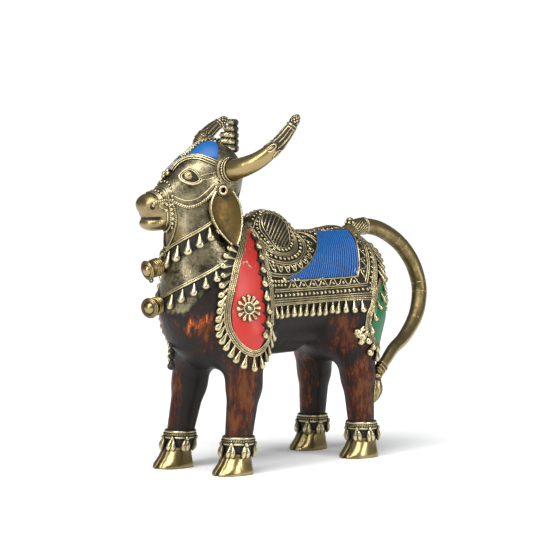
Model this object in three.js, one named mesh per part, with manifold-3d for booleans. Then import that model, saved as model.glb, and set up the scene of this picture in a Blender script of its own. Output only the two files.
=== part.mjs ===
// Standing bull, lost-wax brass casting. Millimetres, +Z up, head toward -Y, the bull's left flank at +X.
// Everything is one casting, so the forms below end up as one closed solid.
import * as THREE from "three";
import { mergeVertices } from "three/addons/utils/BufferGeometryUtils.js";
import Module from "manifold-3d";

// Overall: over the horn tips, from muzzle to tail, and from the ground to the horn tips
const WIDTH = 117;
const LENGTH = 284;
const HEIGHT = 262;

// Body
const BARREL_TOP = 174;
const BARREL_RADIUS = 43;
const BARREL_FLATNESS = 0.87;
const CHEST_HALF_WIDTH = 37;
const RUMP_HALF_WIDTH = 38.5;
const HUMP_RISE = 15;
const NECK_RADIUS = 36;
const THROAT_RADIUS = 28;

// Head
const HEAD_TURN = 17.5;
const SKULL_HALF_WIDTH = 22;
const MUZZLE_HALF_WIDTH = 13;
const HORN_RADIUS = 8.4;
const HORN_TIP_RADIUS = 3.1;
const EAR_LENGTH = 40;
const EAR_HALF_WIDTH = 12.5;
const CREST_TIERS = 5;
const CREST_RADIUS = 9.5;

// Legs
const LEG_RADIUS = 9.3;
const KNEE_RADIUS = 12.2;
const FORELEG_TOP_RADIUS = 19;
const HINDLEG_TOP_RADIUS = 21.5;
const HOOF_HEIGHT = 15;
const HOOF_HALF_WIDTH = 12.5;
const TOE_REACH = 20.5;
const HEEL_REACH = 9.6;
const CLEFT_DEPTH = 4.2;
const ANKLET_RADIUS = 12.6;
const ANKLET_RISE = 9.5;
const ANKLET_BUDS = 7;

// Tail
const TAIL_RADIUS = 6.1;
const TAIL_END_RADIUS = 3.8;
const TASSEL_LENGTH = 22;

// Ornament
const CLOTH_RISE = 1.2;
const ROPE_RADIUS = 1.35;
const THREAD_RADIUS = 0.9;
const DROP_LENGTH = 9.5;
const DROP_WIDTH = 3.9;
const BELL_LENGTH = 15;
const BELL_MOUTH_RADIUS = 7.4;
const ROSETTE_RADIUS = 8.2;
const ROSETTE_PETALS = 12;

// Fineness of the finished solid
const SKIN_STEP = 3;
const TRIANGLES = 9800;
const FACE_CARE = 5;
const NECK_CARE = 2.5;

// Pose and carving are shares of the overall sizes: a place is typed as on a figure 117 by 284 by 262.
const place = (x, y, z) => [(x * WIDTH) / 117, (y * LENGTH) / 284, (z * HEIGHT) / 262];
const share = (length) => (length * HEIGHT) / 262;

const wasm = await Module();
wasm.setup();

const radians = THREE.MathUtils.degToRad;
const add = (a, b, k = 1) => [a[0] + b[0] * k, a[1] + b[1] * k, a[2] + b[2] * k];
const dot = (a, b) => a[0] * b[0] + a[1] * b[1] + a[2] * b[2];
const cross = (a, b) => [a[1] * b[2] - a[2] * b[1], a[2] * b[0] - a[0] * b[2], a[0] * b[1] - a[1] * b[0]];
const size = (a) => Math.hypot(a[0], a[1], a[2]);
const unit = (a) => add([0, 0, 0], a, 1 / (size(a) || 1));
const between = (a, b, t) => add(a, add(b, a, -1), t);

// The bull's skin is a field: negative inside, positive outside, about a millimetre per millimetre.
function egg(centre, radii) {
  return (x, y, z) => {
    const p = x - centre[0];
    const q = y - centre[1];
    const r = z - centre[2];
    const k0 = Math.hypot(p / radii[0], q / radii[1], r / radii[2]) + 1e-6;
    const k1 = Math.hypot(p / radii[0] ** 2, q / radii[1] ** 2, r / radii[2] ** 2) + 1e-6;
    return (k0 * (k0 - 1)) / k1;
  };
}

// A round cone from a to b; wide stretches it sideways at each end.
function limb(a, b, radiusA, radiusB, wideA = 1, wideB = wideA) {
  const d = add(b, a, -1);
  const long = dot(d, d);
  return (x, y, z) => {
    const p = [x - a[0], y - a[1], z - a[2]];
    const t = Math.min(1, Math.max(0, dot(p, d) / long));
    const wide = wideA + (wideB - wideA) * t;
    const off = add(p, d, -t);
    const away = Math.hypot(off[0] / wide, off[1], off[2]) - radiusA - (radiusB - radiusA) * t;
    return away * Math.min(wide, 1);
  };
}

function merge(a, b, soft) {
  const h = Math.max(soft - Math.abs(a - b), 0);
  return Math.min(a, b) - (h * h) / (4 * soft);
}

function blend(first, ...others) {
  return (x, y, z) => others.reduce((d, [form, soft]) => merge(d, form(x, y, z), soft), first(x, y, z));
}

// Chest, barrel, rump, brisket, the ridge under the belly and the hump.
const [, , chestZ] = place(0, 0, 120);
const barrelZ = BARREL_TOP - BARREL_RADIUS - 1;
const lie = (y) => [0, place(0, y, 0)[1], barrelZ];
const breast = place(0, 42, 46);
const croup = place(0, 38, 50);
const hump = place(19, 25, 21);
const torso = blend(
  egg([0, place(0, -52, 0)[1], chestZ], [CHEST_HALF_WIDTH, breast[1], breast[2]]),
  [limb(lie(-40), lie(60), BARREL_RADIUS + 1, BARREL_RADIUS - 1, BARREL_FLATNESS), share(10)],
  [egg(place(0, 70, 122), [RUMP_HALF_WIDTH, croup[1], croup[2]]), share(12)],
  [egg(place(0, -74, 108), place(22, 26, 24)), share(12)],
  [limb(place(0, -30, 91), place(0, 22, 88.5), share(9), share(6), 0.9), share(10)],
  [egg([0, place(0, -8, 0)[1], BARREL_TOP + HUMP_RISE - hump[2]], hump), share(8)],
);

// Hip or shoulder, knee and fetlock of each leg.
const LEGS = [
  { hip: place(25, -53, 100), knee: place(27, -54.5, 64), foot: place(27, -62, 14), top: FORELEG_TOP_RADIUS },
  { hip: place(-25, -53, 100), knee: place(-29, -56, 62), foot: place(-31, -67, 14), top: FORELEG_TOP_RADIUS },
  { hip: place(23, 66, 104), knee: place(28.5, 67, 62), foot: place(30, 70.5, 14), top: HINDLEG_TOP_RADIUS },
  { hip: place(-23, 70, 104), knee: place(-27, 77, 62), foot: place(-28.5, 76, 14), top: HINDLEG_TOP_RADIUS },
];
const legForms = LEGS.map((leg) => blend(
  limb(leg.hip, leg.knee, leg.top, KNEE_RADIUS),
  [limb(leg.knee, leg.foot, KNEE_RADIUS, LEG_RADIUS), share(6)],
));
const neck = limb(place(0, -66, 130), place(0, -70, 200), NECK_RADIUS, THROAT_RADIUS, 0.86, 0.78);

// The head has its own frame: u to the bull's left, v toward the tail, z up, turned about the neck.
const [, pivotY] = place(0, -66, 0);
const turnCos = Math.cos(radians(HEAD_TURN));
const turnSin = Math.sin(radians(HEAD_TURN));
const turned = ([u, v, z]) => [u * turnCos + v * turnSin, pivotY - u * turnSin + v * turnCos, z];
const fromHead = (u, v, z) => turned(place(u, v, z));
const skull = place(0, 23, 25.5);
const cheek = place(2, 24, 22);
const nose = place(0, 11, 8.8);
const lip = place(2, 9.5, 5.6);
const headSkin = blend(
  egg(place(0, 4, 216), [SKULL_HALF_WIDTH, skull[1], skull[2]]),
  [egg(place(0, -8, 207), [SKULL_HALF_WIDTH - cheek[0], cheek[1], cheek[2]]), share(6)],
  [limb(place(0, -14, 212), place(0, -38, 197.5), share(15.5), share(8.6), 1.1, 1.3), share(8)],
  [limb(place(0, -10, 198), place(0, -37, 187), share(17), share(9), 1, 1.15), share(6)],
  [egg(place(0, -44.5, 196), [MUZZLE_HALF_WIDTH, nose[1], nose[2]]), share(3)],
  [egg(place(0, -43.5, 182.5), [MUZZLE_HALF_WIDTH - lip[0], lip[1], lip[2]]), share(2.5)],
);
const head = (x, y, z) => {
  const back = y - pivotY;
  return headSkin(x * turnCos - back * turnSin, x * turnSin + back * turnCos, z);
};

function skin(x, y, z) {
  const legs = Math.min(...legForms.map((form) => form(x, y, z)));
  const standing = merge(torso(x, y, z), legs, share(14));
  return merge(merge(standing, neck(x, y, z), share(14)), head(x, y, z), share(5));
}

function outward(p) {
  const e = share(0.3);
  return unit([
    skin(p[0] + e, p[1], p[2]) - skin(p[0] - e, p[1], p[2]),
    skin(p[0], p[1] + e, p[2]) - skin(p[0], p[1] - e, p[2]),
    skin(p[0], p[1], p[2] + e) - skin(p[0], p[1], p[2] - e),
  ]);
}

// A place on the skin: the point met by coming in toward a core, and the skin's outward direction there.
function drape(core, toward) {
  const way = unit(toward);
  let reach = share(110);
  for (let i = 0; i < 90; i += 1) {
    const gap = skin(...add(core, way, reach));
    if (gap < 0.02 || reach < 2) {
      break;
    }
    reach -= Math.max(gap * 0.8, 0.03);
  }
  const at = add(core, way, reach);
  return { at, out: outward(at) };
}

// Moves a free point onto the skin.
function settle(point) {
  let at = point;
  for (let i = 0; i < 3; i += 1) {
    at = add(at, outward(at), -skin(...at) * 0.9);
  }
  return { at, out: outward(at) };
}

const lift = (spot, rise) => ({ at: add(spot.at, spot.out, rise), out: spot.out });

// Charts of the skin. Side is +1 on the bull's left and -1 on its right; angles are in degrees.
const flank = (side, y, around) => {
  const a = radians(around);
  return drape(place(0, y, 125), [side * Math.sin(a), 0, Math.cos(a)]);
};
const throat = (around, z) => {
  const a = radians(around);
  return drape(place(0, -67, z), [Math.sin(a), -Math.cos(a), 0]);
};
const haunch = (side, around, up) => {
  const a = radians(around);
  const e = radians(up);
  const way = [side * Math.sin(a) * Math.cos(e), Math.cos(a) * Math.cos(e), Math.sin(e)];
  return drape(place(0, 62, 125), way);
};
// Rings about the middle of the hump's side.
const humpSide = (side, ring, turn) => {
  const r = radians(ring);
  const t = radians(turn);
  const middle = unit([18, -3, 24]);
  const down = unit(cross([0, 1, 0], middle));
  const back = cross(middle, down);
  const ahead = add([0, 0, 0], middle, Math.cos(r));
  const way = add(add(ahead, back, Math.sin(r) * Math.cos(t)), down, Math.sin(r) * Math.sin(t));
  return drape(place(0, -10, 150), [side * way[0], way[1], way[2]]);
};
const faceCore = fromHead(0, -12, 207);
const face = (u, v, z) => drape(faceCore, add(fromHead(u, v, z), faceCore, -1));
const line = (count, spotAt) => Array.from({ length: count }, (_, i) => spotAt(i / (count - 1)));

function geometryOf(points, faces) {
  const geometry = new THREE.BufferGeometry();
  geometry.setAttribute("position", new THREE.Float32BufferAttribute(points.flat(), 3));
  geometry.setIndex(faces.flat());
  return geometry;
}

// Closed rings of points, joined one to the next and capped at both ends.
function loft(rings) {
  const count = rings[0].length;
  const points = rings.flat();
  const faces = [];
  for (let i = 0; i + 1 < rings.length; i += 1) {
    for (let k = 0; k < count; k += 1) {
      const a = i * count + k;
      const b = i * count + ((k + 1) % count);
      faces.push([a, b, b + count], [a, b + count, a + count]);
    }
  }
  for (const [ring, flip] of [[0, true], [rings.length - 1, false]]) {
    const middle = points.length;
    const own = rings[ring];
    points.push(own.reduce((sum, p) => add(sum, p, 1 / count), [0, 0, 0]));
    for (let k = 0; k < count; k += 1) {
      const a = ring * count + k;
      const b = ring * count + ((k + 1) % count);
      faces.push(flip ? [middle, b, a] : [middle, a, b]);
    }
  }
  return geometryOf(points, faces);
}

function circle(at, across, up, radius, sides) {
  return Array.from({ length: sides }, (_, k) => {
    const a = (2 * Math.PI * (k + 0.5)) / sides;
    return add(add(at, across, radius * Math.cos(a)), up, radius * Math.sin(a));
  });
}

// A tube through points, fatter or thinner along its length; places may carry the way out of the skin.
function tube(places, radiusAt, sides = 5) {
  const spots = places.map((spot) => (Array.isArray(spot) ? { at: spot, out: null } : spot));
  let up = null;
  const rings = spots.map((spot, i) => {
    const before = spots[Math.max(i - 1, 0)].at;
    const after = spots[Math.min(i + 1, spots.length - 1)].at;
    const along = unit(add(after, before, -1));
    const guess = spot.out ?? up ?? (Math.abs(along[2]) < 0.9 ? [0, 0, 1] : [1, 0, 0]);
    const across = unit(cross(along, guess));
    up = cross(across, along);
    const t = i / (spots.length - 1);
    return circle(spot.at, across, up, typeof radiusAt === "number" ? radiusAt : radiusAt(t), sides);
  });
  return loft(rings);
}

// A bar of equal parts that closes on itself.
function hoop(places, radius, sides = 4) {
  const count = places.length;
  const points = [];
  const faces = [];
  places.forEach((spot, i) => {
    const along = unit(add(places[(i + 1) % count].at, places[(i + count - 1) % count].at, -1));
    const across = unit(cross(along, spot.out));
    points.push(...circle(spot.at, across, cross(across, along), radius, sides));
  });
  for (let i = 0; i < count; i += 1) {
    for (let k = 0; k < sides; k += 1) {
      const a = i * sides + k;
      const b = i * sides + ((k + 1) % sides);
      const c = ((i + 1) % count) * sides + k;
      const d = ((i + 1) % count) * sides + ((k + 1) % sides);
      faces.push([a, b, d], [a, d, c]);
    }
  }
  return geometryOf(points, faces);
}

// A smooth curve through a few points, cut into even steps.
function curve(points, count) {
  const path = new THREE.CatmullRomCurve3(points.map((p) => new THREE.Vector3(...p)), false, "centripetal");
  return path.getSpacedPoints(count - 1).map((p) => [p.x, p.y, p.z]);
}

function evenly(places, count) {
  const steps = [0];
  for (let i = 1; i < places.length; i += 1) {
    steps.push(steps[i - 1] + size(add(places[i].at, places[i - 1].at, -1)));
  }
  const total = steps[steps.length - 1];
  return Array.from({ length: count }, (_, k) => {
    const want = (total * k) / (count - 1);
    let i = 1;
    while (i < places.length - 1 && steps[i] < want) {
      i += 1;
    }
    const t = (want - steps[i - 1]) / Math.max(steps[i] - steps[i - 1], 1e-6);
    return {
      at: between(places[i - 1].at, places[i].at, t),
      out: unit(between(places[i - 1].out, places[i].out, t)),
      along: unit(add(places[i].at, places[i - 1].at, -1)),
    };
  });
}

// A teardrop: a point, a swelling three quarters of the way down, a rounded end.
function drop(root, end, out, width) {
  const along = unit(add(end, root, -1));
  const across = unit(cross(along, out));
  const up = cross(across, along);
  const sections = [[0.02, 0.12], [0.45, 0.55], [0.78, 1], [0.98, 0.5]];
  return loft(sections.map(([t, swell]) => {
    const at = add(between(root, end, t), up, width * 0.12 * swell);
    return circle(at, across, up, (width / 2) * swell, 5);
  }));
}

// Teardrops side by side along an edge, each pointing away from it over the skin.
function fringe(places, count, { length = DROP_LENGTH, width = DROP_WIDTH, turn = 1 } = {}) {
  return evenly(places, count).map((spot) => {
    const away = add([0, 0, 0], unit(cross(spot.along, spot.out)), turn);
    const end = settle(add(spot.at, away, length));
    return drop(lift(spot, share(0.3)).at, lift(end, share(0.4)).at, spot.out, width);
  });
}

function ball(at, radius, stretch = [1, 1, 1]) {
  const geometry = new THREE.IcosahedronGeometry(radius, 0);
  geometry.scale(...stretch);
  geometry.translate(...at);
  return geometry;
}

// A sheet lying on the skin, standing proud by rise and rooted under it.
function plate(rows, columns, spotAt, rise) {
  const points = [];
  const faces = [];
  for (const level of [-2 * CLOTH_RISE, rise]) {
    for (let i = 0; i <= rows; i += 1) {
      for (let k = 0; k <= columns; k += 1) {
        points.push(lift(spotAt(i / rows, k / columns), level).at);
      }
    }
  }
  const half = (rows + 1) * (columns + 1);
  const index = (layer, i, k) => layer * half + i * (columns + 1) + k;
  for (let i = 0; i < rows; i += 1) {
    for (let k = 0; k < columns; k += 1) {
      faces.push([index(1, i, k), index(1, i + 1, k), index(1, i + 1, k + 1)]);
      faces.push([index(1, i, k), index(1, i + 1, k + 1), index(1, i, k + 1)]);
      faces.push([index(0, i, k), index(0, i + 1, k + 1), index(0, i + 1, k)]);
      faces.push([index(0, i, k), index(0, i, k + 1), index(0, i + 1, k + 1)]);
    }
  }
  const wall = (a, b) => {
    faces.push([a, b, b + half], [a, b + half, a + half]);
  };
  for (let i = 0; i < rows; i += 1) {
    wall(index(0, i, 0), index(0, i + 1, 0));
    wall(index(0, i + 1, columns), index(0, i, columns));
  }
  for (let k = 0; k < columns; k += 1) {
    wall(index(0, 0, k + 1), index(0, 0, k));
    wall(index(0, rows, k), index(0, rows, k + 1));
  }
  return geometryOf(points, faces);
}

// Hoof: cleft in front, toe forward, wall leaning back to the fetlock.
function hoof(leg) {
  const [x, y] = leg.foot;
  const edge = share(0.2);
  const levels = [
    { up: 0, wide: HOOF_HALF_WIDTH, toe: TOE_REACH, heel: HEEL_REACH, cleft: CLEFT_DEPTH },
    { up: 0.16, wide: HOOF_HALF_WIDTH + edge, toe: TOE_REACH, heel: HEEL_REACH + edge, cleft: CLEFT_DEPTH },
    { up: 0.55, wide: HOOF_HALF_WIDTH * 0.88, toe: TOE_REACH * 0.71, heel: HEEL_REACH, cleft: CLEFT_DEPTH * 0.7 },
    { up: 1, wide: LEG_RADIUS * 1.06, toe: LEG_RADIUS * 1.1, heel: LEG_RADIUS, cleft: CLEFT_DEPTH * 0.15 },
  ];
  const around = 16;
  return loft(levels.map((level) => Array.from({ length: around }, (_, k) => {
    const a = (2 * Math.PI * k) / around;
    const square = 1 + 0.1 * Math.sin(2 * a) ** 2;
    const dent = k === 0 ? level.cleft : 0;
    const reach = Math.cos(a) > 0 ? level.toe * square : level.heel * square;
    return [x + level.wide * square * Math.sin(a), y - reach * Math.cos(a) + dent, HOOF_HEIGHT * level.up];
  })));
}

// Anklet: a rope ring with buds hanging from it over the fetlock.
function anklet(leg) {
  const low = leg.foot;
  const lean = add(leg.knee, low, -1);
  const axisAt = (z) => add(low, lean, (z - low[2]) / lean[2]);
  const ringZ = HOOF_HEIGHT + ANKLET_RISE;
  const deep = ANKLET_RADIUS - LEG_RADIUS;
  const profile = [
    [-1, 1], [-0.34, 0.48], [-0.25, 0], [0, 0], [0.02, 0.24], [0.04, 0], [0.27, 0.06], [0.32, 1],
  ];
  const parts = [loft(profile.map(([up, inset]) => circle(
    axisAt(ringZ + ANKLET_RISE * up), [1, 0, 0], [0, 1, 0], ANKLET_RADIUS - deep * inset, 12,
  )))];
  for (let k = 0; k < ANKLET_BUDS; k += 1) {
    const a = (2 * Math.PI * (k + 0.5)) / ANKLET_BUDS;
    const out = [Math.sin(a), -Math.cos(a), 0];
    const root = add(axisAt(ringZ - ANKLET_RISE * 0.1), out, ANKLET_RADIUS * 0.968);
    const end = add(axisAt(ringZ - ANKLET_RISE * 1.32), out, ANKLET_RADIUS * 0.952);
    parts.push(drop(root, end, out, ANKLET_RADIUS * 0.508));
  }
  return parts;
}

// Tail: springs from the croup, swings clear of the body and comes down to the left hind leg.
function tail() {
  const swing = [
    place(0, 76, 166), place(0, 90, 172), place(0, 104, 174.8), place(2, 121.5, 171.6), place(4, 140.7, 161.1),
    place(7, 153, 146.5), place(10, 158.1, 130.4), place(13, 156, 117.1), place(18, 145.4, 102),
    place(24, 125.5, 87.8), place(29, 106.8, 79.9), place(32.5, 94.2, 72), place(35, 81, 63),
  ];
  const path = curve(swing, 25);
  const end = path[path.length - 1];
  const collar = path[3];
  const away = unit(add(path[4], path[2], -1));
  const tasselEnd = add(end, unit([1, -4, -22]), TASSEL_LENGTH * 1.02);
  const tassel = [[0, 1.21], [0.12, 1.29], [0.2, 0.95], [0.55, 1.47], [0.85, 1], [1, 0.42]].map(([t, swell]) => circle(
    between(end, tasselEnd, t), unit([0.6, 0.8, 0]), unit([0.8, -0.6, 0.12]), TAIL_END_RADIUS * swell, 8,
  ));
  const collarAt = [[-1.15, 0.84], [-1.05, 1.15], [0.33, 1.15], [0.49, 0.84]];
  return [
    tube(path, (t) => TAIL_RADIUS + (TAIL_END_RADIUS - TAIL_RADIUS) * Math.max(0, (t - 0.6) / 0.4), 9),
    tube(
      collarAt.map(([k]) => add(collar, away, TAIL_RADIUS * k)),
      (t) => TAIL_RADIUS * collarAt[Math.round(t * (collarAt.length - 1))][1],
      10,
    ),
    loft(tassel),
    ball(place(0, 88.7, 178.6), share(3.4)),
  ];
}

// The horns aren't a pair of mirror images: the right one rises sooner and leans back later.
const LEFT_SWEEP = [[16, 6, 220], [30, 11, 222], [43, 20, 228], [51, 30, 238], [54.5, 38, 248.5], [56, 43.5, 257.5]];
const RIGHT_SWEEP = [[16, 6, 220], [29, 10, 224], [39, 15, 231.5], [47, 18.5, 241], [52.5, 29.5, 249.5], [56, 42.5, 257]];

function horn(side) {
  const sweep = side > 0 ? LEFT_SWEEP : RIGHT_SWEEP;
  const path = curve(sweep.map(([u, v, z]) => fromHead(side * u, v, z)), 13);
  const first = path[1];
  const along = unit(add(path[2], path[0], -1));
  const collar = [[-0.6, 0.88], [-0.52, 1.18], [-0.24, 1.18], [-0.17, 1.1], [0.12, 1.18], [0.19, 0.88]];
  return [
    tube(path, (t) => HORN_RADIUS - (HORN_RADIUS - HORN_TIP_RADIUS) * t ** 1.15, 9),
    tube(
      collar.map(([k]) => add(first, along, HORN_RADIUS * k)),
      (t) => HORN_RADIUS * collar[Math.round(t * (collar.length - 1))][1],
      12,
    ),
    ball(path[path.length - 1], HORN_TIP_RADIUS * 1.32, [1, 1, 1.15]),
  ];
}

// Ear: a dished leaf hanging beside the cheek, with a small open ring at its root.
function ear(side) {
  const own = (u, v, z) => turned([side * u, v, z]);
  const root = place(21, 2, 207);
  const tip = add(root, unit([9.5, 3.5, -40]), EAR_LENGTH * 1.032);
  const rings = [0, 0.12, 0.3, 0.5, 0.7, 0.88, 1].map((t) => {
    const half = EAR_HALF_WIDTH * Math.sin(Math.PI * Math.min(1, 0.09 + t * 0.88) ** 0.86) ** 0.8;
    const middle = between(root, tip, t);
    const dish = Math.min(1, half / (EAR_HALF_WIDTH * 0.64));
    const row = (spread, proud, hollow) => spread.map((k) => own(
      middle[0] + share(proud) - share(hollow) * (1 - k * k) * dish,
      middle[1] + half * k,
      middle[2],
    ));
    return [...row([-1, -0.5, 0, 0.5, 1], 1, 2.6), ...row([0.9, 0.45, 0, -0.45, -0.9], -1.6, 2.8)];
  });
  const ringAt = fromHead(side * 24.5, 0.5, 206.5);
  const facing = add(turned([side, 0, 0]), turned([0, 0, 0]), -1);
  const across = cross(facing, [0, 0, 1]);
  const spots = Array.from({ length: 8 }, (_, k) => {
    const a = (2 * Math.PI * k) / 8;
    const out = add(add([0, 0, 0], across, Math.cos(a)), [0, 0, 1], Math.sin(a));
    return { at: add(ringAt, out, share(2.7)), out };
  });
  const stem = tube([fromHead(side * 16, 2, 205), fromHead(side * 24, 1, 206)], share(2.6), 6);
  return [loft(rings), hoop(spots, share(1.5), 6), stem];
}

// Crest between the horns: shrinking tiers with a bead behind each.
function crest() {
  const parts = [];
  const rise = CREST_RADIUS * 0.495;
  const tier = [[-0.56, 0.86], [-0.17, 1], [0.17, 1], [0.56, 0.8]];
  for (let i = 0; i < CREST_TIERS; i += 1) {
    const shrink = 1 - (i * 0.8) / CREST_TIERS;
    const middle = add(fromHead(0, 22 - 8.5 * shrink, 236.7), [0, 0, 1], i * rise);
    parts.push(loft(tier.map(([up, k]) => circle(
      add(middle, [0, 0, rise * up]), [1, 0, 0], [0, 1, 0], CREST_RADIUS * shrink * k, 10,
    ))));
    parts.push(ball(add(fromHead(0, 23.2, 236.2), [0, 0, 1], i * rise), rise * 0.66));
  }
  return parts;
}

function eye(side) {
  const rim = Array.from({ length: 12 }, (_, k) => {
    const a = (2 * Math.PI * k) / 12;
    const along = Math.cos(a) * 9.5;
    const high = Math.sin(a) * 5.6 * (1 - 0.25 * Math.cos(a) ** 2);
    return face(side * 18.5, -23 + along, 216 - along * 0.12 + high);
  });
  return [hoop(rim, THREAD_RADIUS * 1.2), ball(face(side * 18.5, -23.5, 216.4).at, share(4))];
}

// A band around the muzzle, square to the way it points.
function muzzleBand(v) {
  const core = fromHead(0, v - 2, 194);
  return Array.from({ length: 16 }, (_, k) => {
    const a = (2 * Math.PI * k) / 16;
    return drape(core, add(turned([Math.sin(a), 0.25 * Math.cos(a), Math.cos(a)]), turned([0, 0, 0]), -1));
  });
}

function headOrnament() {
  const parts = [-36, -32].map((v) => hoop(muzzleBand(v), THREAD_RADIUS * 1.3));
  const along = (points, side, count) => curve(points.map(([u, v, z]) => [side * u, v, z]), count)
    .map(([u, v, z]) => face(u, v, z));
  for (const side of [1, -1]) {
    const halter = [[12.6, -44, 198], [13.5, -32, 198.2], [19.5, -23.5, 194.6], [22.6, -16.5, 197.4], [24, -6, 206]];
    const brow = [[2.5, -29, 221], [3.5, -15, 231.6], [10.6, -10, 231.7], [19, -2, 225.5]];
    parts.push(tube(along(halter, side, 9), ROPE_RADIUS));
    parts.push(tube(along(brow, side, 8), THREAD_RADIUS * 1.67));
    parts.push(ball(face(side * 3.2, -33, 217).at, share(3)), ...eye(side), ...horn(side), ...ear(side));
  }
  parts.push(ball(face(0, -31, 221).at, share(3.2)));
  const parting = line(8, (t) => face(0, -27 + 32 * t, 222 + 24 * Math.sin((t * Math.PI) / 2)));
  parts.push(tube(parting, ROPE_RADIUS * 1.22));
  return [...parts, ...crest()];
}

// A bell standing out from the chest, flaring to a dished mouth.
function bell(seat) {
  const way = unit([seat.out[0], seat.out[1], -0.12]);
  const across = unit(cross(way, [0, 0, 1]));
  const up = cross(across, way);
  const profile = [[-0.4, 0.7], [0.13, 0.76], [0.5, 0.81], [0.8, 0.89], [1, 1], [0.99, 0.757], [0.88, 0.65]];
  return loft(profile.map(([t, swell]) => circle(
    add(seat.at, way, BELL_LENGTH * t), across, up, BELL_MOUTH_RADIUS * swell, 12,
  )));
}

// Necklaces run in a vee about the neck's turned front, with teardrops below and a bell at the lowest point.
function necklaces() {
  const front = -20;
  const parts = [];
  const strings = [
    { low: 160, first: 14, step: 14.5, drops: 6, drop: 1.316, ends: 92, bell: 9.5 },
    { low: 126, first: 24, step: 14, drops: 5, drop: 1.105, ends: 88, bell: 4.5 },
  ];
  for (const string of strings) {
    const height = (turn) => string.low + 0.3 * Math.abs(turn);
    parts.push(tube(line(22, (t) => {
      const turn = string.ends * (2 * t - 1);
      return throat(front + turn, height(turn));
    }), THREAD_RADIUS * 1.33));
    for (const side of [1, -1]) {
      for (let i = 0; i < string.drops; i += 1) {
        const turn = side * (string.first + string.step * i);
        const root = throat(front + turn, height(turn) - 1.4);
        const long = DROP_LENGTH * (string.drop - i * 0.063);
        const end = settle(add(root.at, [0, 0, -1], long));
        parts.push(drop(root.at, lift(end, share(0.5)).at, end.out, DROP_WIDTH * 1.077));
      }
    }
    parts.push(bell(throat(front, string.low - string.bell)));
    parts.push(ball(lift(throat(front, string.low - 0.5), share(1)).at, share(2.8)));
  }
  return parts;
}

function rosette(centre) {
  const across = unit(cross(centre.out, [0, 0, 1]));
  const up = cross(across, centre.out);
  const heart = lift(centre, CLOTH_RISE * 1.33).at;
  const parts = [ball(heart, ROSETTE_RADIUS * 0.366)];
  for (let k = 0; k < ROSETTE_PETALS; k += 1) {
    const a = (2 * Math.PI * k) / ROSETTE_PETALS;
    const way = add(add([0, 0, 0], across, Math.cos(a)), up, Math.sin(a));
    const end = settle(add(centre.at, way, ROSETTE_RADIUS));
    const root = add(heart, way, ROSETTE_RADIUS * 0.293);
    parts.push(drop(root, lift(end, CLOTH_RISE * 1.25).at, centre.out, ROSETTE_RADIUS * 0.366));
  }
  return parts;
}

// Leaf-shaped panel: pointed above, round below, with a rope edge, teardrops and a rosette.
// Its chart goes from the point, 0, to the round end, 1, and from edge to edge, -1 to 1.
function leaf({ chart, rim, rows, columns, drops, inner, middle }) {
  const width = (s) => (s < 0.78
    ? Math.sin((Math.PI / 2) * (s / 0.78)) ** 0.65
    : Math.sqrt(Math.max(0, 1 - ((s - 0.78) / 0.22) ** 2)));
  const parts = [plate(rows, columns, (i, k) => {
    const s = 0.02 + 0.975 * Math.sin((i * Math.PI) / 2) ** 1.1;
    return chart(s, (2 * k - 1) * Math.max(width(s), 0.05));
  }, CLOTH_RISE)];
  const down = (t) => 0.01 + 0.985 * Math.sin((t * Math.PI) / 2);
  const fine = 40;
  const edge = [
    ...line(fine, (t) => chart(down(t), -width(down(t)))),
    ...line(fine, (t) => chart(down(1 - t), width(down(1 - t)))),
  ].filter((spot, i, all) => i === 0 || size(add(spot.at, all[i - 1].at, -1)) > 0.4);
  parts.push(tube(evenly(edge, rim).map((spot) => lift(spot, CLOTH_RISE * 0.75)), ROPE_RADIUS * 1.37));
  const stretch = ({ from, to }) => edge.slice(Math.floor(edge.length * from), Math.floor(edge.length * to));
  parts.push(...fringe(stretch(drops), drops.count, { turn: drops.turn }));
  parts.push(...fringe(stretch(inner), inner.count, { turn: -drops.turn, length: DROP_LENGTH * 0.63 }));
  return [...parts, ...rosette(chart(middle, 0))];
}

function shoulderLeaf(side) {
  return leaf({
    chart: (s, c) => {
      const spine = -31 - 26.5 * Math.min(1, s / 0.5) ** 0.75 + 3 * Math.max(0, s - 0.7);
      return flank(side, spine + 21.5 * c, 6 + 127 * s);
    },
    rim: 46,
    rows: 14,
    columns: 7,
    middle: 0.7,
    drops: { from: 0.12, to: 0.8, count: 21, turn: side },
    inner: { from: 0.66, to: 0.97, count: 8 },
  });
}

function haunchLeaf(side) {
  return leaf({
    chart: (s, c) => haunch(side, 44 + 27 * c, 66 - 108 * s),
    rim: 40,
    rows: 12,
    columns: 6,
    middle: 0.6,
    drops: { from: 0.34, to: 0.7, count: 11, turn: side },
    inner: { from: 0.04, to: 0.3, count: 6 },
  });
}

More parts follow.
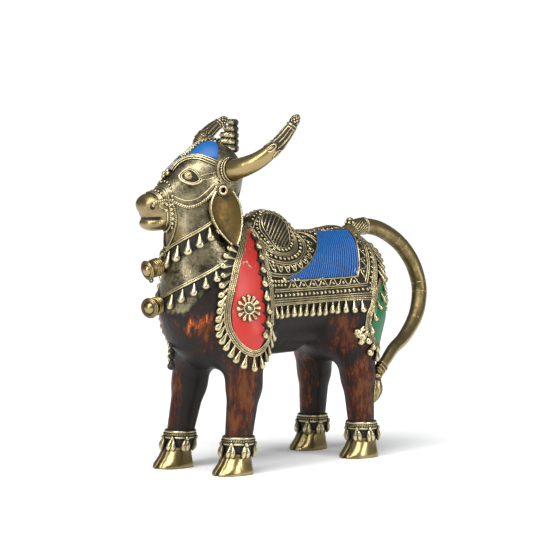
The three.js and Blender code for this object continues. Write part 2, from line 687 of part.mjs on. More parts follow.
// Saddle cloth over the back, edged with ropes and a fringe of teardrops.
function cloth() {
  const parts = [plate(20, 30, (i, k) => flank(1, -33 + 107 * i, -94 + 188 * k), CLOTH_RISE)];
  const bar = (count, spotAt, radius, sides = 4) => {
    parts.push(tube(line(count, (t) => lift(spotAt(t), CLOTH_RISE)), radius, sides));
  };
  for (const side of [1, -1]) {
    bar(16, (t) => flank(side, -32 + 90 * t, 79.5), THREAD_RADIUS);
    bar(16, (t) => flank(side, -32 + 90 * t, 92), ROPE_RADIUS);
    bar(14, (t) => flank(side, 64 - 3 * t, 8 + 110 * t), ROPE_RADIUS);
    bar(14, (t) => flank(side, 73 - 3 * t, 8 + 110 * t), ROPE_RADIUS);
    bar(14, (t) => humpSide(side, 27, -50 + 200 * t), THREAD_RADIUS * 1.22);
    bar(14, (t) => humpSide(side, 45, -50 + 200 * t), THREAD_RADIUS * 1.22);
    bar(14, (t) => humpSide(side, 63, -50 + 168 * t), ROPE_RADIUS);
    const hem = line(30, (t) => flank(side, -30 + 86 * t, 94));
    parts.push(...fringe(hem, 13, { turn: side, length: DROP_LENGTH * 0.95 }));
    const hips = line(20, (t) => haunch(side, 96 - 26 * t, -27 - 8 * t));
    parts.push(...fringe(hips, 4, { turn: side, width: DROP_WIDTH * 1.28 }));
  }
  bar(14, (t) => flank(1, 12 + 70 * t, 0), ROPE_RADIUS * 1.22, 5);
  return parts;
}

// Skin as a mesh: one vertex in each cell the surface passes through.
function skinGeometry(step) {
  const margin = share(8);
  const low = add(place(-54, -124, 6), [1, 1, 1], -margin);
  const high = add(place(54, 116, 248), [1, 1, 1], margin);
  const [nx, ny, nz] = low.map((v, i) => Math.ceil((high[i] - v) / step) + 1);
  const value = new Float32Array(nx * ny * nz);
  const at = (i, j, k) => (i * ny + j) * nz + k;
  for (let i = 0; i < nx; i += 1) {
    for (let j = 0; j < ny; j += 1) {
      for (let k = 0; k < nz; k += 1) {
        value[at(i, j, k)] = skin(low[0] + i * step, low[1] + j * step, low[2] + k * step);
      }
    }
  }
  const corners = Array.from({ length: 8 }, (_, c) => [c & 1, (c >> 1) & 1, (c >> 2) & 1]);
  const apart = (a, b) => a.reduce((sum, v, i) => sum + Math.abs(v - b[i]), 0);
  const edges = corners.flatMap((a, i) => corners.slice(i + 1).filter((b) => apart(a, b) === 1).map((b) => [a, b]));
  const vertex = new Int32Array(nx * ny * nz).fill(-1);
  const points = [];
  for (let i = 0; i + 1 < nx; i += 1) {
    for (let j = 0; j + 1 < ny; j += 1) {
      for (let k = 0; k + 1 < nz; k += 1) {
        const inside = corners.filter((c) => value[at(i + c[0], j + c[1], k + c[2])] < 0).length;
        if (inside === 0 || inside === 8) {
          continue;
        }
        let sum = [0, 0, 0];
        let hits = 0;
        for (const [a, b] of edges) {
          const va = value[at(i + a[0], j + a[1], k + a[2])];
          const vb = value[at(i + b[0], j + b[1], k + b[2])];
          if (va < 0 !== vb < 0) {
            sum = add(sum, between(a, b, va / (va - vb)));
            hits += 1;
          }
        }
        const raw = add(add(low, [i, j, k], step), sum, step / hits);
        vertex[at(i, j, k)] = points.length;
        points.push(settle(raw).at);
      }
    }
  }
  const faces = [];
  const quad = (cells, flip) => {
    const v = cells.map(([i, j, k]) => vertex[at(i, j, k)]);
    const turns = flip ? [[0, 2, 1], [0, 3, 2]] : [[0, 1, 2], [0, 2, 3]];
    faces.push(...turns.map((turn) => turn.map((n) => v[n])));
  };
  for (let i = 1; i + 1 < nx; i += 1) {
    for (let j = 1; j + 1 < ny; j += 1) {
      for (let k = 1; k + 1 < nz; k += 1) {
        const here = value[at(i, j, k)] < 0;
        if (here !== value[at(i + 1, j, k)] < 0) {
          quad([[i, j, k], [i, j - 1, k], [i, j - 1, k - 1], [i, j, k - 1]], !here);
        }
        if (here !== value[at(i, j + 1, k)] < 0) {
          quad([[i, j, k], [i, j, k - 1], [i - 1, j, k - 1], [i - 1, j, k]], !here);
        }
        if (here !== value[at(i, j, k + 1)] < 0) {
          quad([[i, j, k], [i - 1, j, k], [i - 1, j - 1, k], [i, j - 1, k]], !here);
        }
      }
    }
  }
  return geometryOf(points, faces);
}

// A form as a solid, its faces turned outward.
function manifold(geometry) {
  const bare = geometry.clone();
  bare.deleteAttribute("normal");
  bare.deleteAttribute("uv");
  const merged = mergeVertices(bare, 1e-4);
  const position = merged.attributes.position.array;
  const index = Array.from(merged.index.array);
  let volume = 0;
  for (let i = 0; i < index.length; i += 3) {
    const [a, b, c] = [0, 1, 2].map((k) => Array.from(position.slice(index[i + k] * 3, index[i + k] * 3 + 3)));
    volume += dot(a, cross(b, c));
  }
  if (volume < 0) {
    for (let i = 0; i < index.length; i += 3) {
      [index[i + 1], index[i + 2]] = [index[i + 2], index[i + 1]];
    }
  }
  const vertProperties = new Float32Array(position);
  return new wasm.Manifold(new wasm.Mesh({ numProp: 3, vertProperties, triVerts: new Uint32Array(index) }));
}

// A binary heap, cheapest item first.
class Queue {
  constructor() {
    this.items = [];
  }

  push(item) {
    const items = this.items;
    items.push(item);
    let i = items.length - 1;
    while (i > 0) {
      const parent = (i - 1) >> 1;
      if (items[parent].cost <= items[i].cost) {
        break;
      }
      [items[parent], items[i]] = [items[i], items[parent]];
      i = parent;
    }
  }

  pop() {
    const items = this.items;
    const top = items[0];
    const last = items.pop();
    if (items.length > 0) {
      items[0] = last;
      let i = 0;
      for (;;) {
        let child = 2 * i + 1;
        if (child >= items.length) {
          break;
        }
        if (child + 1 < items.length && items[child + 1].cost < items[child].cost) {
          child += 1;
        }
        if (items[i].cost <= items[child].cost) {
          break;
        }
        [items[child], items[i]] = [items[i], items[child]];
        i = child;
      }
    }
    return top;
  }
}

// The face keeps more of its form than the flanks and legs do, and the hung neck something between.
const [, browY, jawZ] = place(0, -37, 174);
const [, neckY, chestTop] = place(0, -67, 105);
function care(p) {
  if (p[2] > jawZ && p[1] < browY) {
    return FACE_CARE;
  }
  return p[1] < neckY && p[2] > chestTop ? NECK_CARE : 1;
}

// Merges the least needed vertices, the flattest places first, until the mesh has the wanted number of triangles.
function thin(points, faces, wanted) {
  const around = points.map(() => new Set());
  const planes = points.map(() => new Float64Array(10));
  const stamp = new Int32Array(points.length);
  const normalOf = (a, b, c) => cross(add(b, a, -1), add(c, a, -1));
  faces.forEach((corners, f) => {
    const n = normalOf(...corners.map((v) => points[v]));
    const area = size(n) / 2;
    const [a, b, c] = unit(n);
    const d = -dot([a, b, c], points[corners[0]]);
    const terms = [a * a, a * b, a * c, a * d, b * b, b * c, b * d, c * c, c * d, d * d];
    for (const v of corners) {
      around[v].add(f);
      terms.forEach((term, i) => {
        planes[v][i] += term * (area + 1e-3);
      });
    }
  });
  const error = (q, [x, y, z]) => q[0] * x * x + 2 * q[1] * x * y + 2 * q[2] * x * z + 2 * q[3] * x + q[4] * y * y
    + 2 * q[5] * y * z + 2 * q[6] * y + q[7] * z * z + 2 * q[8] * z + q[9];
  const minor = (a, b, c, d) => a * d - b * c;
  // The point nearest all the planes of a pair, or an end or the middle of their edge where that is safer.
  const best = (q, a, b) => {
    const [m0, m1, m2] = [minor(q[4], q[5], q[5], q[7]), minor(q[1], q[5], q[2], q[7]), minor(q[1], q[4], q[2], q[5])];
    const det = q[0] * m0 - q[1] * m1 + q[2] * m2;
    const trace = q[0] + q[4] + q[7];
    const choices = [a, b, between(a, b, 0.5)];
    if (Math.abs(det) > 1e-4 * trace ** 3) {
      const [n0, n1] = [minor(q[6], q[5], q[8], q[7]), minor(q[6], q[4], q[8], q[5])];
      const n2 = minor(q[1], q[6], q[2], q[8]);
      const x = -(q[3] * m0 - q[1] * n0 + q[2] * n1) / det;
      const y = -(q[0] * n0 - q[3] * m1 + q[2] * n2) / det;
      const z = -(-q[0] * n1 - q[1] * n2 + q[3] * m2) / det;
      if (size(add([x, y, z], choices[2], -1)) < 2 * size(add(a, b, -1)) + 0.2) {
        choices.push([x, y, z]);
      }
    }
    return choices.map((p) => ({ p, cost: error(q, p) })).reduce((one, two) => (two.cost < one.cost ? two : one));
  };
  const queue = new Queue();
  const offer = (a, b) => {
    const q = planes[a].map((v, i) => v + planes[b][i]);
    const { p, cost } = best(q, points[a], points[b]);
    const length = size(add(points[a], points[b], -1));
    queue.push({ cost: (Math.max(cost, 0) + 1e-4 * length) * care(p), a, b, p, stampA: stamp[a], stampB: stamp[b] });
  };
  const neighbours = (v) => new Set([...around[v]].flatMap((f) => faces[f]).filter((w) => w !== v));
  for (const [a, b, c] of faces) {
    [[a, b], [b, c], [c, a]].filter(([p, q]) => p < q).forEach(([p, q]) => offer(p, q));
  }
  let left = faces.length;
  while (left > wanted && queue.items.length > 0) {
    const { a, b, p, stampA, stampB } = queue.pop();
    if (stamp[a] !== stampA || stamp[b] !== stampB) {
      continue;
    }
    const nearA = neighbours(a);
    const nearB = neighbours(b);
    const shared = [...nearA].filter((v) => nearB.has(v));
    if (shared.length !== 2 || nearA.size + nearB.size < 9) {
      continue;
    }
    const keeps = (v, w) => [...around[v]].every((f) => {
      if (faces[f].includes(w)) {
        return true;
      }
      const corners = faces[f].map((i) => (i === v ? p : points[i]));
      const old = normalOf(...faces[f].map((i) => points[i]));
      const fresh = normalOf(...corners);
      const longest = Math.max(...corners.map((corner, i) => size(add(corner, corners[(i + 1) % 3], -1))));
      return dot(unit(old), unit(fresh)) > 0.35 && size(fresh) > 0.03 * longest * longest;
    });
    if (!keeps(a, b) || !keeps(b, a)) {
      continue;
    }
    for (const f of [...around[b]]) {
      if (faces[f].includes(a)) {
        faces[f].forEach((v) => around[v].delete(f));
        faces[f] = null;
        left -= 1;
      } else {
        faces[f] = faces[f].map((v) => (v === b ? a : v));
        around[a].add(f);
      }
    }
    around[b].clear();
    points[a] = p;
    planes[b].forEach((v, i) => {
      planes[a][i] += v;
    });
    stamp[a] += 1;
    stamp[b] += 1;
    neighbours(a).forEach((v) => offer(a, v));
  }
  const used = new Map();
  const kept = faces.filter(Boolean).map((corners) => corners.map((v) => {
    if (!used.has(v)) {
      used.set(v, used.size);
    }
    return used.get(v);
  }));
  return { points: [...used.keys()].map((v) => points[v]), faces: kept };
}

const forms = [
  skinGeometry(SKIN_STEP),
  ...LEGS.map(hoof),
  ...LEGS.flatMap(anklet),
  ...tail(),
  ...headOrnament(),
  ...necklaces(),
  ...cloth(),
  ...[1, -1].flatMap(shoulderLeaf),
  ...[1, -1].flatMap(haunchLeaf),
];
const bodies = wasm.Manifold.union(forms.map(manifold)).decompose();
const casting = bodies.reduce((one, two) => (two.volume() > one.volume() ? two : one));
const cast = casting.getMesh();
const castPoints = Array.from({ length: cast.numVert }, (_, i) => {
  const from = i * cast.numProp;
  return Array.from(cast.vertProperties.slice(from, from + 3));
});
const castFaces = Array.from({ length: cast.numTri }, (_, i) => Array.from(cast.triVerts.slice(i * 3, i * 3 + 3)));
const slim = thin(castPoints, castFaces, TRIANGLES);

// The soles stay dead flat, so that the figure stands.
const level = slim.points.map(([x, y, z]) => [x, y, z < HOOF_HEIGHT * 0.05 ? 0 : z]);
const bull = geometryOf(level, slim.faces);

// The frame's origin is the middle of the footprint on the ground.
bull.computeBoundingBox();
const middle = bull.boundingBox.getCenter(new THREE.Vector3());
bull.translate(-middle.x, -middle.y, -bull.boundingBox.min.z);
bull.computeVertexNormals();

const brass = new THREE.MeshStandardMaterial({ color: 0xb08d4f, metalness: 0.9, roughness: 0.4 });
const figure = new THREE.Mesh(bull, brass);
figure.name = "nandi_bull";
const group = new THREE.Group();
group.add(figure);
export default group;
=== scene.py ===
# %% [markdown]
# # A brass bull cast by the lost-wax way
# The real figure is one casting. A maker shapes a core, dresses it with rolled wax threads, ropes and beads,
# packs it in clay, melts the wax out and pours brass in. Afterwards some panels are painted with enamel.
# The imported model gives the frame: its box, its place and its rough solid. This lesson dresses that solid,
# working as the maker does: a smooth body first, then threads, beads and drops laid on its skin.

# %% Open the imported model
import math
import bpy
import numpy as np
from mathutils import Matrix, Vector


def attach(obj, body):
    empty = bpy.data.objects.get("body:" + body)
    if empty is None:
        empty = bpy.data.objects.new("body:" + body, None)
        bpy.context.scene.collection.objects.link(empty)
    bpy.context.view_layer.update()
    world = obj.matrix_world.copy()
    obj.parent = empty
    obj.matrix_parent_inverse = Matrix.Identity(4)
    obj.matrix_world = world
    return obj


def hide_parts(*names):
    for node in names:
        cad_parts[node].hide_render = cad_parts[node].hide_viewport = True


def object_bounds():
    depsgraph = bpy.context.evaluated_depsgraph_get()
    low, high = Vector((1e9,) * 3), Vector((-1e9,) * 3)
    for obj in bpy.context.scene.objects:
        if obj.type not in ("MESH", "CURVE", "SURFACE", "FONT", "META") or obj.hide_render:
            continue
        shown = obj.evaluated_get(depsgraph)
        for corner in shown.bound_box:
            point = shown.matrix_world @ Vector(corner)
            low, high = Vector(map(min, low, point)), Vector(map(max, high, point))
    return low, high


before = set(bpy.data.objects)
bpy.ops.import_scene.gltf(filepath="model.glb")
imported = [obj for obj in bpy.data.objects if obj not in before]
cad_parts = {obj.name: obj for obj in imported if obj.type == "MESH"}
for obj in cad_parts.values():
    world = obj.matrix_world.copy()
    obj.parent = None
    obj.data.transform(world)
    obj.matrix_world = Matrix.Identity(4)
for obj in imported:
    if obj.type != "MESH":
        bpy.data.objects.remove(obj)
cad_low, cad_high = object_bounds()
print("packed box in metres", [round(v, 4) for v in cad_low], [round(v, 4) for v in cad_high])

# %% [markdown]
# ## The bull's skin as a field
# A body without corners is hard to push together from flat faces. A field is easier: at each place a formula
# says how far the skin is, negative inside. Eggs make the masses, round cones make the legs and neck, and a
# soft minimum lets one flow into the next, as wax does under a warm thumb. All lengths here are millimetres.

# %% Eggs, limbs and soft joins
HEAD_TURN = math.radians(17.5)
NECK_PIVOT = -66.0
MODEL_MIDDLE = np.array([11.29375, 22.39479, 0.0])

def join(a, b, soft):
    h = np.maximum(soft - np.abs(a - b), 0)
    return np.minimum(a, b) - h * h / (4 * soft)

def egg(x, y, z, centre, radii):
    p, q, r = x - centre[0], y - centre[1], z - centre[2]
    k0 = np.sqrt((p / radii[0]) ** 2 + (q / radii[1]) ** 2 + (r / radii[2]) ** 2) + 1e-6
    k1 = np.sqrt((p / radii[0] ** 2) ** 2 + (q / radii[1] ** 2) ** 2 + (r / radii[2] ** 2) ** 2) + 1e-6
    return k0 * (k0 - 1) / k1

def limb(x, y, z, a, b, radius_a, radius_b, wide_a=1.0, wide_b=None):
    d = [b[i] - a[i] for i in range(3)]
    t = np.clip(((x - a[0]) * d[0] + (y - a[1]) * d[1] + (z - a[2]) * d[2]) / sum(v * v for v in d), 0, 1)
    wide = wide_a + ((wide_a if wide_b is None else wide_b) - wide_a) * t
    p, q, r = (x - a[0] - t * d[0]) / wide, y - a[1] - t * d[1], z - a[2] - t * d[2]
    return (np.sqrt(p * p + q * q + r * r) - radius_a - (radius_b - radius_a) * t) * np.minimum(wide, 1)

print("a ball of radius 10 met 4 outside it reads",
      round(float(egg(14.0, 0.0, 0.0, (0, 0, 0), (10, 10, 10))), 3))

# %% Body, legs, neck and head
LEGS = [
    dict(hip=(25, -53, 100), knee=(27, -54.5, 64), foot=(27, -62, 14), top=19.0),
    dict(hip=(-25, -53, 100), knee=(-29, -56, 62), foot=(-31, -67, 14), top=19.0),
    dict(hip=(23, 66, 104), knee=(28.5, 67, 62), foot=(30, 70.5, 14), top=21.5),
    dict(hip=(-23, 70, 104), knee=(-27, 77, 62), foot=(-28.5, 76, 14), top=21.5),
]

def body_field(x, y, z):
    d = egg(x, y, z, (0, -52, 120), (37, 42, 46))
    d = join(d, limb(x, y, z, (0, -40, 130), (0, 60, 130), 44, 42, 0.87), 10)
    d = join(d, egg(x, y, z, (0, 70, 122), (38.5, 38, 50)), 12)
    d = join(d, egg(x, y, z, (0, -74, 108), (22, 26, 24)), 12)
    d = join(d, limb(x, y, z, (0, -30, 91), (0, 22, 88.5), 9, 6, 0.9), 10)
    return join(d, egg(x, y, z, (0, -8, 168), (19, 25, 21)), 8)

def leg_field(x, y, z):
    each = [join(limb(x, y, z, leg["hip"], leg["knee"], leg["top"], 12.2),
                 limb(x, y, z, leg["knee"], leg["foot"], 12.2, 9.3), 6) for leg in LEGS]
    return np.minimum.reduce(each)

def head_field(x, y, z):
    back = y - NECK_PIVOT
    u = x * math.cos(HEAD_TURN) - back * math.sin(HEAD_TURN)
    v = x * math.sin(HEAD_TURN) + back * math.cos(HEAD_TURN)
    d = egg(u, v, z, (0, 4, 216), (22, 23, 25.5))
    d = join(d, egg(u, v, z, (0, -8, 207), (20, 24, 22)), 6)
    d = join(d, limb(u, v, z, (0, -14, 212), (0, -38, 197.5), 15.5, 8.6, 1.1, 1.3), 8)
    d = join(d, limb(u, v, z, (0, -10, 198), (0, -37, 187), 17, 9, 1.0, 1.15), 6)
    d = join(d, egg(u, v, z, (0, -43.4, 188.6), (10.6, 9.1, 3.4)), 1.5)
    d = join(d, egg(u, v, z, (0, -44.5, 196), (13, 11, 8.8)), 3)
    return join(d, egg(u, v, z, (0, -43.5, 182.5), (11, 9.5, 5.6)), 2.5)

def skin(x, y, z):
    standing = join(body_field(x, y, z), leg_field(x, y, z), 14)
    neck = limb(x, y, z, (0, -66, 130), (0, -70, 200), 36, 28, 0.86, 0.78)
    return join(join(standing, neck, 14), head_field(x, y, z), 5)

print("skin at the barrel's middle:", round(float(skin(0.0, 10.0, 130.0)), 1), "mm")

# %% [markdown]
# ## Places on the skin
# Every thread and bead must lie on the skin. A chart turns two easy numbers, such as a distance along the
# flank and an angle round it, into a place: it comes in from outside toward a core until it meets the skin,
# and notes which way is out. Charts work on whole arrays, so a long rope costs no more than a short one.

# %% Charts
def unit(v):
    return v / np.maximum(np.linalg.norm(v, axis=-1, keepdims=True), 1e-9)

def outward(p, e=0.3):
    x, y, z = p.T
    return unit(np.stack([skin(x + e, y, z) - skin(x - e, y, z), skin(x, y + e, z) - skin(x, y - e, z),
                          skin(x, y, z + e) - skin(x, y, z - e)], 1))

def drape(core, way):
    way = unit(np.atleast_2d(np.asarray(way, float)))
    core = np.broadcast_to(np.asarray(core, float), way.shape)
    reach = np.full(len(way), 110.0)
    for _ in range(48):
        gap = skin(*(core + way * reach[:, None]).T)
        reach -= np.where(gap < 0.01, 0, np.maximum(gap * 0.9, 0.02))
    at = core + way * reach[:, None]
    return at, outward(at)

def settle(at):
    for _ in range(3):
        at = at - outward(at) * skin(*at.T)[:, None] * 0.95
    return at, outward(at)

def rows(*columns):
    return np.stack(np.broadcast_arrays(*[np.asarray(c, float) for c in columns]), -1)

BACK_CORE = 125.0
THROAT_CORE = -67.0

def angle_round(x, z):
    """How far round the trunk a place is, in degrees from the spine down to the belly."""
    return np.degrees(np.arctan2(np.abs(x), z - BACK_CORE))

def angle_at_throat(x, y):
    return np.degrees(np.arctan2(x, THROAT_CORE - y))

def flank(side, y, around):
    a, y = np.radians(around), np.atleast_1d(y)
    return drape(rows(0, y, BACK_CORE), rows(side * np.sin(a), 0, np.cos(a)) + 0 * rows(0, y, 0))

def throat(around, z):
    a = np.radians(np.atleast_1d(around))
    return drape(rows(0, THROAT_CORE, z + 0 * a), rows(np.sin(a), -np.cos(a), 0))

def haunch(side, around, up):
    a, e = np.radians(np.atleast_1d(around)), np.radians(np.atleast_1d(up))
    return drape((0, 62, BACK_CORE), rows(side * np.sin(a) * np.cos(e), np.cos(a) * np.cos(e),
                                          np.sin(e) + 0 * a))

def hump_side(side, ring, turn):
    r, t = np.radians(np.atleast_1d(ring))[:, None], np.radians(np.atleast_1d(turn))[:, None]
    middle = unit(np.array([18.0, -3, 24]))
    down = unit(np.cross((0, 1, 0), middle))
    back = np.cross(middle, down)
    way = middle * np.cos(r) + back * np.sin(r) * np.cos(t) + down * np.sin(r) * np.sin(t)
    return drape((0, -10, 150), way * (side, 1, 1))

def from_head(u, v, z):
    c, s = math.cos(HEAD_TURN), math.sin(HEAD_TURN)
    u, v, z = np.broadcast_arrays(*[np.asarray(k, float) for k in (u, v, z)])
    return np.stack([u * c + v * s, NECK_PIVOT - u * s + v * c, z], -1)

def head_way(u, v, z):
    return from_head(u, v, z) - from_head(0, 0, 0)

FACE_CORE = from_head(0, -12, 207)

def face(u, v, z):
    return drape(FACE_CORE, np.atleast_2d(from_head(u, v, z)) - FACE_CORE)

at, out = flank(1, 20, 90)
print("the flank's widest place is", at.round(1)[0], "and out is", out.round(2)[0])

# %% [markdown]
# ## Laying lines on the skin
# A rolled wax thread starts as a few places the maker has in mind. A smooth curve goes through them in the
# chart's own numbers, is laid on the skin, and is cut into even steps so that twists and beads stay regular.

# %% Smooth lines and even steps
def smooth(stops, parts=12, closed=False):
    stops = np.asarray(stops, float)
    if closed:
        p = np.vstack([stops[-1:], stops, stops[:2]])
    else:
        p = np.vstack([2 * stops[:1] - stops[1:2], stops, 2 * stops[-1:] - stops[-2:-1]])
    t = np.linspace(0, 1, parts, endpoint=False)[:, None]
    spans = [0.5 * (2 * b + (c - a) * t + (2 * a - 5 * b + 4 * c - d) * t ** 2
                    + (3 * b - a - 3 * c + d) * t ** 3)
             for a, b, c, d in zip(p[:-3], p[1:-2], p[2:-1], p[3:])]
    return np.vstack(spans + ([] if closed else [stops[-1:]]))

def evenly(at, out, step=None, count=None):
    gone = np.concatenate([[0], np.cumsum(np.linalg.norm(np.diff(at, axis=0), axis=1))])
    count = count or max(2, int(round(gone[-1] / step)) + 1)
    want = np.linspace(0, gone[-1], count)
    pick = lambda values: np.stack([np.interp(want, gone, values[:, i]) for i in range(3)], 1)
    return pick(at), unit(pick(out))

def trail(chart, stops, step=0.8, closed=False):
    places = smooth(stops, 12, closed)
    if closed:
        places = np.vstack([places, places[:1]])
    return evenly(*chart(*places.T), step)

def on_side(chart, side):
    return lambda *places: chart(side, *places)

line_at, _ = trail(on_side(flank, 1), [(-20, 80), (20, 82), (55, 80)])
print("a thread along the flank has", len(line_at), "steps")

# %% [markdown]
# ## Wax on the bench
# Everything laid on the skin is one of a few things: a thread, a twisted rope, a round bead, a teardrop, a
# turned form or a pad. Each is added to a bench, which becomes one Blender mesh. Each point also carries a
# number called rise, 0 down in a hollow and 1 on top, because dirt stays low and hands polish what is high.
# On the tail and on the pendant under the chest, rise also carries painted highlight and shade.

# %% The bench
class Bench:
    def __init__(self):
        self.points, self.quads, self.triangles, self.rise, self.count = [], [], [], [], 0

    def add(self, points, rise, quads=(), triangles=()):
        self.points.append(np.asarray(points, float))
        self.rise.append(np.broadcast_to(np.asarray(rise, float), (len(points),)))
        if len(quads):
            self.quads.append(np.asarray(quads, int) + self.count)
        if len(triangles):
            self.triangles.append(np.asarray(triangles, int) + self.count)
        self.count += len(points)

BOX_LOW, BOX_HIGH = np.array(cad_low) * 1000, np.array(cad_high) * 1000
PRESS = 1.2

def pressed(points):
    """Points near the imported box's walls, moved in so that none crosses one; soles stay where they are."""
    over = np.maximum(points - (BOX_HIGH - PRESS), 0)
    under = np.maximum(BOX_LOW + PRESS - points, 0) * (1, 1, 0)
    return points - over + PRESS * np.tanh(over / PRESS) + under - PRESS * np.tanh(under / PRESS)

def make_piece(name, bench, material):
    points = pressed(np.vstack(bench.points) - MODEL_MIDDLE)
    quads = np.vstack(bench.quads) if bench.quads else np.zeros((0, 4), int)
    triangles = np.vstack(bench.triangles) if bench.triangles else np.zeros((0, 3), int)
    mesh = bpy.data.meshes.new(name)
    mesh.vertices.add(len(points))
    mesh.vertices.foreach_set("co", (points / 1000).ravel())
    mesh.loops.add(quads.size + triangles.size)
    mesh.loops.foreach_set("vertex_index", np.concatenate([quads.ravel(), triangles.ravel()]))
    mesh.polygons.add(len(quads) + len(triangles))
    starts = np.concatenate([np.arange(len(quads)) * 4, quads.size + np.arange(len(triangles)) * 3])
    mesh.polygons.foreach_set("loop_start", starts)
    mesh.update(calc_edges=True)
    mesh.validate()
    mesh.polygons.foreach_set("use_smooth", np.full(len(mesh.polygons), True))
    mesh.attributes.new("rise", "FLOAT", "POINT").data.foreach_set("value", np.concatenate(bench.rise))
    piece = bpy.data.objects.new(name, mesh)
    bpy.context.scene.collection.objects.link(piece)
    mesh.materials.append(material)
    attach(piece, "root")
    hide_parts("nandi_bull")
    print(name, "has", len(quads) * 2 + len(triangles), "triangles")
    return piece

# %% Threads, ropes, beads, drops and turned forms
def frames_along(at, out, closed=False):
    ahead = np.roll(at, -1, 0) if closed else np.vstack([at[1:], at[-1:]])
    behind = np.roll(at, 1, 0) if closed else np.vstack([at[:1], at[:-1]])
    along = unit(ahead - behind)
    across = unit(np.cross(along, out))
    return along, across, np.cross(across, along)

def stitch_rings(count, sides, closed):
    i, k = np.meshgrid(np.arange(count if closed else count - 1), np.arange(sides), indexing="ij")
    n, m = (i + 1) % count, (k + 1) % sides
    return np.stack([i * sides + k, n * sides + k, n * sides + m, i * sides + m], -1).reshape(-1, 4)

def lay(bench, at, out, radius, sides=6, twist=0.0, groove=0.0, flatten=1.0, closed=False, low=0.0):
    """A thread or rope: twist is its turns in a millimetre and groove how deep the strands part."""
    _, across, up = frames_along(at, out, closed)
    steps = np.concatenate([[0], np.cumsum(np.linalg.norm(np.diff(at, axis=0), axis=1))])
    a = 2 * np.pi * (np.arange(sides) + 0.5) / sides
    radius = np.broadcast_to(np.asarray(radius, float), (len(at),))[:, None]
    turn = 2 * np.pi * twist * steps[:, None]
    lobes = 1 - groove + groove * np.abs(np.cos(a - turn))
    reach = radius * lobes
    sideways = across[:, None] * (reach * np.cos(a))[..., None]
    upward = up[:, None] * (reach * np.sin(a) * flatten)[..., None]
    ring = at[:, None] + sideways + upward
    valley = np.clip((1 - lobes) / max(groove, 1e-6) * (groove > 0), 0, 1)
    height = np.clip(0.5 + 0.6 * np.sin(a), 0, 1) * (1 - valley * 0.85)
    rise = low + (1 - low) * height + 0 * reach
    quads = stitch_rings(len(at), sides, closed)
    if closed:
        bench.add(ring.reshape(-1, 3), rise.ravel(), quads)
        return
    points = np.vstack([ring.reshape(-1, 3), at[:1], at[-1:]])
    k = np.arange(sides)
    m = (k + 1) % sides
    end = (len(at) - 1) * sides
    caps = np.vstack([np.stack([0 * k + len(points) - 2, k, m], 1),
                      np.stack([0 * k + len(points) - 1, end + m, end + k], 1)])
    bench.add(points, np.concatenate([rise.ravel(), [0.5, 0.5]]), quads, caps)

def ball_template(sides=10, bands=6):
    polar = np.linspace(0, np.pi, bands + 1)[1:-1]
    a = 2 * np.pi * np.arange(sides) / sides
    ring = rows(np.sin(polar)[:, None] * np.cos(a), np.sin(polar)[:, None] * np.sin(a),
                np.cos(polar)[:, None]).reshape(-1, 3)
    k = np.arange(sides)
    m = (k + 1) % sides
    n = len(ring)
    last = (bands - 2) * sides
    caps = np.vstack([np.stack([0 * k + n, k, m], 1), np.stack([0 * k + n + 1, last + m, last + k], 1)])
    return np.vstack([ring, [[0, 0, 1], [0, 0, -1]]]), stitch_rings(bands - 1, sides, False), caps

def bead(bench, at, out, radius, tall=1.0, sides=10, bands=6, floor=0.0):
    shape, quads, caps = ball_template(sides, bands)
    at, out = np.atleast_2d(at), np.atleast_2d(out)
    radius = np.broadcast_to(np.asarray(radius, float), (len(at),))
    side_way = unit(np.cross(out, np.where(np.abs(out[:, 2:]) < 0.9, [[0, 0, 1.0]], [[1.0, 0, 0]])))
    other = np.cross(out, side_way)
    rise = np.clip(floor + (1 - floor) * (shape[:, 2] * 0.75 + 0.4), 0, 1)
    for p, o, s, t, r in zip(at, out, side_way, other, radius):
        bench.add(p + r * (shape[:, :1] * s + shape[:, 1:2] * t + shape[:, 2:] * o * tall), rise, quads,
                  caps)

DROP_SHAPE = [(0.0, 0.14), (0.1, 0.25), (0.28, 0.42), (0.46, 0.62), (0.62, 0.84), (0.76, 1.0), (0.87, 1.0),
              (0.945, 0.78), (0.985, 0.48), (1.0, 0.14)]

def drop(bench, root, end, out, width, shape=DROP_SHAPE, sides=10, thick=0.42):
    t = np.array([s[0] for s in shape])
    swell = np.array([s[1] for s in shape])
    at = root + (end - root) * t[:, None]
    outs = np.broadcast_to(out, at.shape)
    up = frames_along(at, outs)[2]
    lay(bench, at + up * (width * 0.14 * swell)[:, None], outs, width / 2 * swell, sides, flatten=2 * thick)

def turned(bench, base, way, profile, sides=24, rise=None, across=None):
    """A form from the lathe: profile rows are (distance along way, radius)."""
    way = unit(np.asarray(way, float))
    across = unit(np.cross(way, (0, 0, 1)) if across is None else np.asarray(across, float))
    up = np.cross(across, way)
    a = 2 * np.pi * np.arange(sides) / sides
    spokes = across * np.cos(a)[:, None] + up * np.sin(a)[:, None]
    ring = [base + way * t + spokes * r for t, r in profile]
    points = np.vstack(ring + [[base + way * profile[0][0]], [base + way * profile[-1][0]]])
    radii = np.array([r for _, r in profile])
    if rise is None:
        near = np.array([max(radii[max(i - 2, 0):i + 3]) for i in range(len(radii))])
        rise = np.clip(1 - (near - radii) / 1.2, 0, 1)
    k = np.arange(sides)
    m = (k + 1) % sides
    end = (len(profile) - 1) * sides
    caps = np.vstack([np.stack([0 * k + len(points) - 2, k, m], 1),
                      np.stack([0 * k + len(points) - 1, end + m, end + k], 1)])
    bench.add(points, np.concatenate([np.repeat(rise, sides), [0.4, 0.4]]),
              stitch_rings(len(profile), sides, False), caps)

print("one bead has", len(ball_template()[1]) * 2 + len(ball_template()[2]), "triangles")
